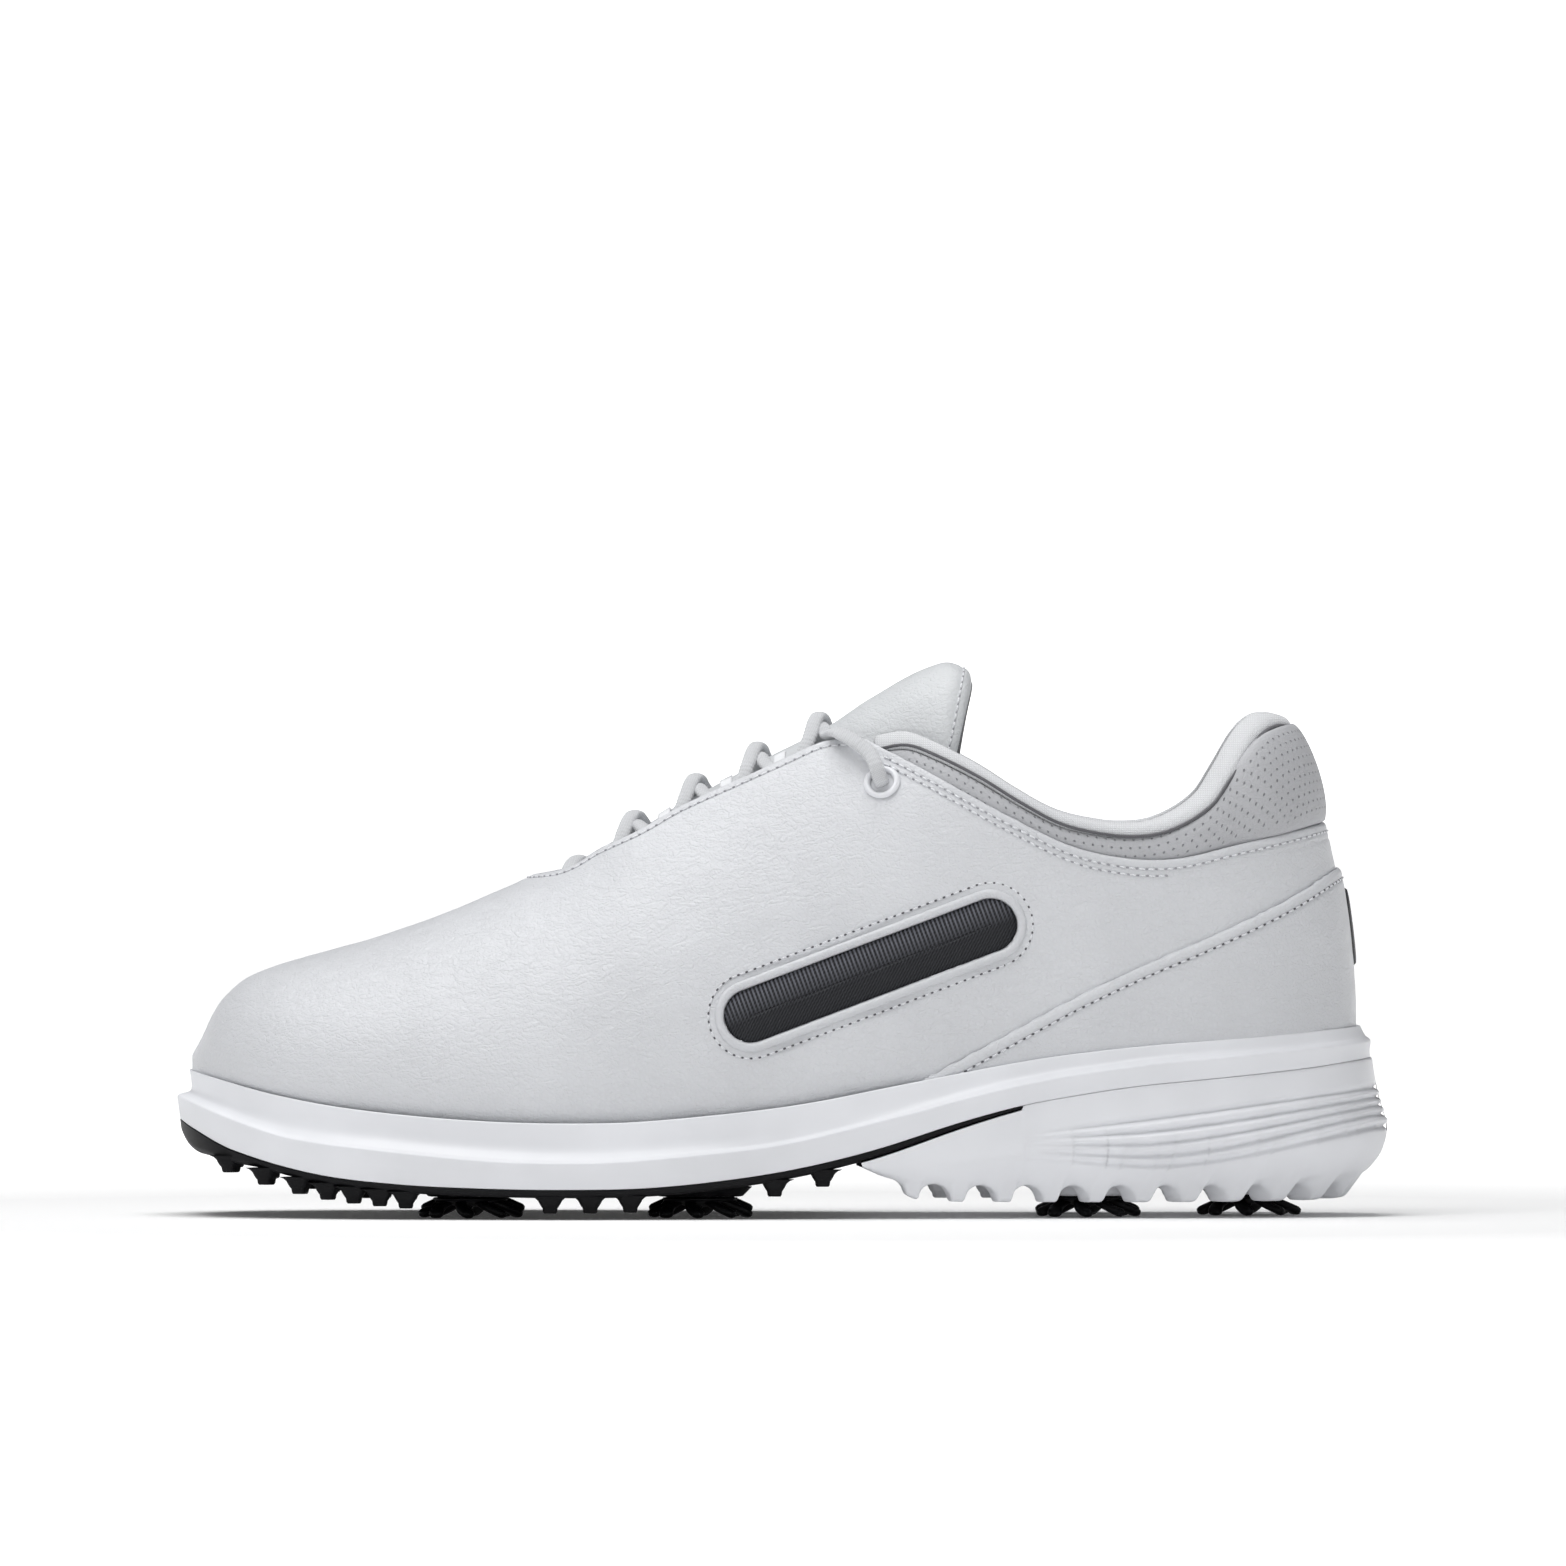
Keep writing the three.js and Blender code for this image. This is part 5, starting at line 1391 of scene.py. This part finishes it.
def sole_edge(share, toe, heel, width_of):
    x = toe + (heel - toe) * share
    reach = LENGTH / 2
    full = -reach + 2 * reach * share
    rounded = round_end(full, TOE_ROUND_FROM, -reach - 0.4, TOE_ROUNDNESS)
    rounded = rounded * round_end(full, HEEL_ROUND_FROM, reach + 0.4, HEEL_ROUNDNESS)
    return x, width_of(x) * rounded


def midsole_width(x):
    heel_share = ease(x, 0, 70)
    return sole_width(x) * (1 - heel_share) + (upper_width(x) + 4) * heel_share


def moved(line, amount):
    """A line of the shoe, moved by an amount."""
    return lambda x: line(x) + amount

LOWER_TOE = TOE_END + 0.8
LOWER_HEEL = 147.4


def sole_profile(shares, levels, rounding):
    """Rings along the sole through a side profile of levels, softened at each corner by a rounding."""
    rings = []
    for share in shares:
        corners = []
        for level in levels:
            x, half = sole_edge(share, level[0], level[1], level[2])
            corners.append([float(x), float(half), float(level[3](x))])
        rings.append(round_corners(np.array(corners), rounding))
    return np.array(rings)


def round_corners(corners, rounding, steps=5):
    made = [corners[0]]
    for i in range(1, len(corners) - 1):
        a, b, c = corners[i - 1], corners[i], corners[i + 1]
        r = rounding[i]
        start = b + (a - b) * min(0.45, r / max(np.linalg.norm(a - b), 1e-6))
        end = b + (c - b) * min(0.45, r / max(np.linalg.norm(c - b), 1e-6))
        t = np.linspace(0, 1, steps)[:, None]
        made += list((1 - t) ** 2 * start + 2 * t * (1 - t) * b + t ** 2 * end)
    made.append(corners[-1])
    return np.array(made)


def sole_solid(shell, rings, change=None):
    """Makes both sides of the rings, joined across the top and the bottom."""
    for side in SIDES:
        x, half, z = rings[..., 0], rings[..., 1], rings[..., 2]
        points = np.stack([x, middle(x) + side * half, z], -1)
        if change is not None:
            points = change(points)
        shell.grid(points, -side)
        for row, opposite in ((0, LATERAL), (-1, MEDIAL)):
            line = points[:, row]
            centre = line.copy()
            centre[:, 1] = middle(line[:, 0])
            share = np.linspace(0, 1, 10)[:, None, None]
            across = line[None] * (1 - share) + centre[None] * share
            shell.grid(across, -side * opposite)
    for end, facing in ((0, LATERAL), (-1, MEDIAL)):
        line = np.stack([rings[end, :, 0], middle(rings[end, :, 0]), rings[end, :, 2]], 1)
        share = np.linspace(-1, 1, 9)[:, None]
        across = np.stack([line + [0, half, 0] * share for line, half in zip(line, rings[end, :, 1])], 1)
        shell.grid(across, facing)


def midsole():
    shares = sole_shares()
    levels = [
        (UPPER_TOE - 0.2, UPPER_HEEL + 1.8, moved(upper_width, -1.2), moved(feather, 0.4)),
        (UPPER_TOE - 0.5, UPPER_HEEL + 2.2, moved(upper_width, 1.0), moved(feather, 0.7)),
        (TOE_END + 4.0, 146.2, moved(upper_width, 1.5), lambda x: feather(x) * 0.4 + ridge(x) * 0.6),
        (TOE_END + 1.2, 147.0, moved(midsole_width, -0.7), moved(ridge, 1.1)),
        (TOE_END, 147.6, moved(midsole_width, 0.8), moved(ridge, 0.35)),
        (TOE_END + 0.3, 147.2, moved(midsole_width, -0.1), moved(ridge, -2.0)),
        (LOWER_TOE, LOWER_HEEL, moved(midsole_width, -0.75), moved(seam, 0.04)),
        (LOWER_TOE + 0.6, LOWER_HEEL - 0.6, moved(midsole_width, -1.5), moved(seam, 0.02))]
    rings = sole_profile(shares, levels, (0, 0.6, 3.0, 0.6, 0.55, 1.5, 0.25, 0))
    shell = Shell()
    sole_solid(shell, rings)
    made = shell.build("midsole_moulding")
    return dress(made, mats["moulding"], ["midsole"])


def rounded_block(shell, x, y, turn, length, width, bottom, top, taper=0.8, corner=1.0, flare=0.0):
    """A tread block with rounded corners, a rounded foot and a hollow flare where it leaves the sole."""
    count = 28
    angles = np.linspace(0, 2 * math.pi, count, endpoint=False)
    c, s = squared_circle(angles, 4.0)
    height = top - bottom
    rows = [(1.0 + flare, top), (1.0 + 0.55 * flare, top - 0.1 * height),
            (1.0 + 0.25 * flare, top - 0.25 * height), (1.0 + 0.06 * flare, top - 0.45 * height),
            (0.55 + taper * 0.45, top - 0.6 * height),
            (taper, bottom + corner), (taper * 0.93, bottom + corner * 0.3), (taper * 0.8, bottom),
            (taper * 0.35, bottom)]
    ct, st = math.cos(turn), math.sin(turn)
    rings = []
    for size, z in rows:
        across = size if size <= 1 else 1 + (size - 1) * 0.3
        a, b = c * size * length / 2, s * across * width / 2
        rings.append(np.stack([x + a * ct - b * st, y + a * st + b * ct, np.full(count, z)], 1))
    shell.cap_ends(shell.grid(np.stack(rings), MEDIAL, wrap=True))


SPIKE_PLACES = {
    name[len("spike_"):]: (box_mm(name)[0] + box_mm(name)[1]) / 2 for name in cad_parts
    if name.startswith("spike_")}
SPIKE_SEAT = 5.4
PLATE_GAP = 0.15
FOREFOOT_LUGS = (-138, -129, -120.5, -113.5, -107, -100.5, -94, -58, -48, -38, -2, 10)
MIDDLE_LUGS = ((-118, 4), (-104, -8), (-104, 14), (-58, 0), (-48, 0), (-38, -1), (-2, -3))


def boss_ring(shell, centre, top, bottom, outer=11.4, inner=9.6):
    """The raised collar round a receptacle."""
    profile = [(outer + 1.6, top), (outer, bottom + 0.8), (outer - 0.7, bottom + 0.1), (outer - 1.2, bottom),
               (inner, bottom), (inner, top)]
    turned(shell, centre, profile, 48)


def share_at(x):
    return (x - LOWER_TOE) / (LOWER_HEEL - LOWER_TOE)


def forefoot_plate():
    shares = sole_shares(300)
    end = share_at(60.0)
    shares = np.concatenate([shares[shares < end - 0.002], [end]])

    def under_seam(share, lift=0.0):
        return lambda x: seam(x) - PLATE_GAP - plate_thickness(x) * share + lift

    levels = [
        (LOWER_TOE, LOWER_HEEL, moved(midsole_width, -3.0), under_seam(0)),
        (LOWER_TOE, LOWER_HEEL, moved(midsole_width, -0.7), under_seam(0)),
        (LOWER_TOE + 0.3, LOWER_HEEL, moved(midsole_width, -1.0), under_seam(0.75)),
        (LOWER_TOE + 1.6, LOWER_HEEL, moved(midsole_width, -2.8), under_seam(1)),
        (LOWER_TOE + 9, LOWER_HEEL, moved(midsole_width, -12), under_seam(1, 0.5))]
    rings = sole_profile(shares, levels, (0, 0.4, 0.7, 1.2, 0))
    shell = Shell()
    sole_solid(shell, rings)
    for x in FOREFOOT_LUGS:
        for side in SIDES:
            at, half = sole_edge(share_at(x), LOWER_TOE, LOWER_HEEL, lambda p: midsole_width(p) - 0.7)
            base = float(seam(x)) - PLATE_THICKNESS
            turn = side * 0.5 * float(ease(-x, 90, 145))
            rounded_block(shell, x, float(middle(x) + side * (half - 4.6)), turn, 4.9, 6.4,
                          max(1.1, base - 3.9), base + 0.35, 0.78, 1.3, 1.0)
    for x, y in MIDDLE_LUGS:
        base = float(seam(x)) - PLATE_THICKNESS
        rounded_block(shell, x, y, 0, 4.8, 10, max(1.4, base - 3), base + 0.35, 0.78, 1.2, 0.9)
    for name, at in SPIKE_PLACES.items():
        if name.startswith("forefoot"):
            boss_ring(shell, at, float(seam(at[0])) - 1.2, SPIKE_SEAT)
    made = shell.build("forefoot_outsole_moulding")
    return dress(made, mats["outsole"], ["forefoot_outsole_plate"])


# Flowing ridges of the heel piece: the height of each groove at three places along the shoe.
GROOVES = [through((40, low), (62, at_62), (99, at_99), (148, at_148)) for low, at_62, at_99, at_148 in (
    (18.0, 21.0, 25.7, 32.2), (17.0, 19.6, 22.6, 29.9), (16.0, 18.2, 19.4, 27.8), (15.0, 16.7, 16.3, 25.6),
    (14.0, 15.2, 13.7, 22.6))]


TOOTH_PITCH = 11.6
TOOTH_FIRST = 32.3
TOOTH_DEPTH = 4.2
ARCH_HALF = 4.1

# Rows of the heel piece from its roof down its wall and under it: share of the drop, heel end,
# how far out, and then how far out and how deep the row goes where there is a tread tooth.
HEEL_ROWS = (
    (0.0, 146.2, -1.8, -1.8, 0), (0.0, 147.8, 0, 0, 0), (0.3, 149.2, 0.5, 0.5, 0), (0.6, 152, 1, 1, 0),
    (0.8, 150.2, -0.6, -0.6, 0), (0.93, 146.5, -2.2, -2.0, 0.05), (1, 142, -3.6, -2.9, 0.92),
    (1, 140, -5.4, -4.6, 1), (1, 136, -8.6, -7.2, 0.96), (1, 134, -10, -9.4, 0.1), (1, 131, -12, -12, 0))


def tooth_share(along):
    """1 on a tooth and 0 at the top of the rounded gap between two teeth."""
    from_gap = np.abs((along / TOOTH_PITCH) % 1.0 - 0.5) * TOOTH_PITCH
    return 1 - np.sqrt(np.maximum(0, 1 - np.minimum(1, from_gap / ARCH_HALF) ** 2))


def heel_piece():
    straight = share_at(np.arange(19.6, 141, 0.4))
    end = 1 - (1 - straight[-1]) * (1 - np.linspace(0, 1, 90)[1:]) ** 2
    shares = np.concatenate([straight, end])

    def roof(x):
        return np.where(x < 60, seam(x) - plate_thickness(x) - 0.3, seam(x) - 0.04)

    def row_at(share, drop, heel, out):
        heel_end = LOWER_HEEL + (heel - LOWER_HEEL) * ease(share, 0.45, 1)
        grown = out * 2.6 if out > 0 else out
        x, half = sole_edge(share, LOWER_TOE, heel_end,
                            lambda p: midsole_width(p) - 0.7 + grown * (ease(p, 25, 75) if out > 0 else 1))
        return np.stack([x, np.maximum(half, 0), roof(x) + (heel_underside(x) - roof(x)) * drop], -1)

    edge = row_at(shares, 1, 142, -3.6)
    along = np.concatenate([[0], np.cumsum(np.linalg.norm(np.diff(edge[:, :2], axis=0), axis=1))])
    along = along - np.interp(TOOTH_FIRST, edge[:, 0], along)
    tooth = tooth_share(along) * ease(edge[:, 0], 24, 34)
    corners = []
    for drop, heel, out, tooth_out, sink in HEEL_ROWS:
        plain, full = row_at(shares, drop, heel, out), row_at(shares, drop, heel, tooth_out)
        row = plain + (full - plain) * tooth[:, None]
        row[:, 2] -= sink * TOOTH_DEPTH * tooth
        corners.append(row)
    rings = []
    for ring in np.stack(corners, 1):
        ring = round_corners(ring, (0, 0.4, 3, 3, 2.5, 1.5, 1.2, 0.8, 0.8, 0.8, 0), 5)
        steps = np.linalg.norm(np.diff(ring, axis=0), axis=1)
        reach = np.concatenate([[0], np.cumsum(steps)]) / max(steps.sum(), 1e-6)
        wanted = np.linspace(0, 1, 96)
        rings.append(np.stack([np.interp(wanted, reach, ring[:, k]) for k in range(3)], 1))
    rings = np.array(rings)

    def carve(points):
        x, z = points[..., 0], points[..., 2]
        heights = np.stack([groove(x) for groove in GROOVES])
        depth = np.zeros_like(x)
        for height in heights:
            depth = depth + 1.1 * np.exp(-((z - height) / 0.6) ** 2)
        for upper, lower in zip(heights[:-1], heights[1:]):
            depth = depth - 0.5 * np.exp(-((z - (upper + lower) / 2) / 0.8) ** 2)
        centre = np.stack([np.minimum(x, 110), middle(np.minimum(x, 110)), z], -1)
        return points + unit(centre - points) * (depth * ease(x, 50, 92))[..., None]

    shell = Shell()
    sole_solid(shell, rings, carve)
    for x in (40, 52):
        rounded_block(shell, x, -3, 0, 6.4, 25, 4.6, 8.6, 0.8, 1.2, 0.6)
    for name, at in SPIKE_PLACES.items():
        if name.startswith("heel"):
            boss_ring(shell, at, 8.9, SPIKE_SEAT)
    made = shell.build("heel_outsole_moulding")
    return dress(made, mats["moulding"], ["heel_outsole"])


def spike(name, centre):
    """A soft spike: a domed base, a ring, and eight curved legs that swirl down to the ground."""
    shell = Shell()
    base = SPIKE_SEAT - 0.3
    profile = [(4.2, base + 5.0), (4.2, base), (9.3, base), (9.5, base - 0.35), (9.2, base - 0.7),
               (7.4, base - 0.95), (6.2, 3.9), (5.2, 3.4),
               (4.6, 3.2), (3.9, 3.0), (3.0, 2.9), (1.6, 2.85), (0.02, 2.85)]
    index = turned(shell, centre, profile, 64)
    shell.strips_across(index[0, :-1].tolist(), flip=True)
    for k in range(8):
        angle = math.pi / 4 * (k + 0.5)
        t = np.linspace(0, 1, 16)
        radius = 5.0 + 7.3 * t ** 0.85
        height = 4.3 - 3.15 * t ** 1.15
        swirl = angle + 0.42 * t ** 1.4
        line = np.stack([centre[0] + radius * np.cos(swirl), centre[1] + radius * np.sin(swirl), height], 1)
        wide = 1.25 + 0.65 * t
        thick = 0.95 + 0.2 * t
        end_round = np.sqrt(np.maximum(0.1, 1 - np.maximum(0, (t - 0.86) / 0.145) ** 2))
        line[:, 2] -= np.min(height - thick * end_round) * t
        tube(shell, line, np.tile([0.0, 0.0, 1.0], (len(t), 1)), wide * end_round, thick * end_round,
             faces=16, power=2.8)
    for k in range(3):
        angle = 2 * math.pi / 3 * k + 0.4
        x, y = centre[0] + 3.1 * math.cos(angle), centre[1] + 3.1 * math.sin(angle)
        rounded_block(shell, x, y, angle, 1.3, 1.9, 2.3, 3.1, 0.8, 0.2)
    made = shell.build(f"spike_{name}_moulding", weld=0.004)
    return dress(made, mats["spike"], [f"spike_{name}"], f"spike_{name}")


def sockliner():
    """The insole: a soft top cloth over moulded foam, with a slightly raised rim."""
    amount = 6.6
    x = np.linspace(-141.6, 135.8, 200)
    t = (x - x[0]) / (x[-1] - x[0])
    x = x[0] + (x[-1] - x[0]) * (1 - np.cos(math.pi * t)) / 2
    at = UPPER_MIDDLE + (x - UPPER_MIDDLE) / (1 - amount / UPPER_HALF)
    half = np.maximum(0.3, (upper_width(at) - amount) * plan_rounding(at))
    across = np.sin(np.linspace(-math.pi / 2, math.pi / 2, 60))
    y = middle(at)[:, None] + across * half[:, None]
    from_edge = (1 - np.abs(across)) * half[:, None]
    rim = ease(from_edge, 0.0, 9.0)
    top = feather(x)[:, None] + SOCKLINER_TOP - 0.9 * rim - 0.8 * fold_depth(from_edge, 1.0)
    shell = Shell()
    xs = np.repeat(x[:, None], len(across), 1)
    shell.grid(np.stack([xs, y, top], -1), LATERAL)
    made = thicken(shell.build("sockliner_cloth"), 2.6)
    return dress(made, mats["sockliner"], ["sockliner"])


def kept_nodes():
    """CAD nodes that are hidden inside, or small, and keep their own shape."""
    finishes = {"receptacle_": "receptacle", "arch_shank": "shank", "strobel_board": "board",
                "eyestay_reinforcement_": "board", "collar_foam": "foam"}
    for name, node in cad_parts.items():
        for start, finish in finishes.items():
            if name.startswith(start):
                node.data.materials.clear()
                node.data.materials.append(mats[finish])


# ---------------------------------------------------------------- stage

ROOM_RADIUS = 9.0
RIM_HEIGHT = 1.2
FLOOR_DIM_WITHIN = 0.25
FLOOR_WHITE_BEYOND = 0.9
FLOOR_GLOW = (0.04, 0.95)
PHOTO_SPAN = 0.3915
CAMERA_DISTANCE = 8.0
CAMERA_ELEVATION = math.radians(0.6)
CAMERA_TARGET = Vector((0.0001, -0.030, 0.10875))
SENSOR = 36.0


def make_camera():
    data = bpy.data.cameras.new("camera")
    data.sensor_width = SENSOR
    data.lens = SENSOR * CAMERA_DISTANCE / PHOTO_SPAN
    data.clip_end = 4 * ROOM_RADIUS
    camera = bpy.data.objects.new("camera", data)
    bpy.context.scene.collection.objects.link(camera)
    back = Vector((0, -math.cos(CAMERA_ELEVATION), math.sin(CAMERA_ELEVATION)))
    camera.location = CAMERA_TARGET + back * CAMERA_DISTANCE
    camera.rotation_mode = "QUATERNION"
    camera.rotation_quaternion = (-back).to_track_quat("-Z", "Y")
    bpy.context.scene.camera = camera


def area_light(name, place_at, target, size, power):
    data = bpy.data.lights.new(name, "AREA")
    data.shape = "RECTANGLE"
    data.size, data.size_y = size
    data.energy = power
    light = bpy.data.objects.new(name, data)
    light.location = place_at
    light.rotation_mode = "QUATERNION"
    light.rotation_quaternion = (Vector(target) - Vector(place_at)).to_track_quat("-Z", "Y")
    bpy.context.scene.collection.objects.link(light)


def make_stage():
    """A wide round pale floor with a low pale rim, and soft light from above and both sides."""
    bend = RIM_HEIGHT / 2
    profile = [(0.0005, 0.0), (FLOOR_WHITE_BEYOND, 0.0), (ROOM_RADIUS / 2, 0.0)]
    profile += [(ROOM_RADIUS + bend * math.sin(a), bend * (1 - math.cos(a)))
                for a in np.linspace(0, math.pi / 2, 12)]
    profile.append((ROOM_RADIUS + bend, RIM_HEIGHT))
    shell = Shell()
    turned(shell, (0, 0), [(r / MM, z / MM) for r, z in profile], 96, LATERAL)
    floor = shell.build("floor")
    made, tree, shader = new_material("floor_paper", (0.93, 0.93, 0.93), 0.9)
    shader.inputs["Emission Color"].default_value = (1, 1, 1, 1)
    away = put(tree, "ShaderNodeVectorMath", operation="LENGTH")
    tree.links.new(coordinates(tree), away.inputs["Vector"])
    glow = remap(tree, away.outputs["Value"], FLOOR_DIM_WITHIN, FLOOR_WHITE_BEYOND, *FLOOR_GLOW)
    tree.links.new(glow, shader.inputs["Emission Strength"])
    grain = noise(tree, coordinates(tree), 60, 2.0)
    tree.links.new(bump(tree, grain, 0.05, 0.2), shader.inputs["Normal"])
    floor.data.materials.append(made)
    world = bpy.data.worlds.new("world")
    world.use_nodes = True
    world.node_tree.nodes["Background"].inputs["Color"].default_value = (0.97, 0.98, 1.0, 1)
    world.node_tree.nodes["Background"].inputs["Strength"].default_value = 0.12
    bpy.context.scene.world = world
    centre = (0, 0, 0.06)
    area_light("key", (-0.45, -0.75, 1.25), centre, (0.8, 0.8), 6.0)
    area_light("fill", (0.3, -1.5, 0.6), centre, (1.2, 1.0), 0.5)
    area_light("top", (-0.1, 0.0, 1.3), centre, (1.2, 0.9), 14)
    bpy.context.scene.view_settings.view_transform = "Standard"
    bpy.context.scene.view_settings.look = "None"


make_camera()
laces()
vamp_quarter()
heel_overlay()
collar_panel()
collar_lining()
quarter_lining()
vamp_lining()
stiffeners()
stitching()
side_inlays()
heel_patch()
tongue()
eyelets()
lace_loops()
midsole()
forefoot_plate()
heel_piece()
for spike_name, spike_centre in SPIKE_PLACES.items():
    spike(spike_name, spike_centre)
sockliner()
kept_nodes()
make_stage()
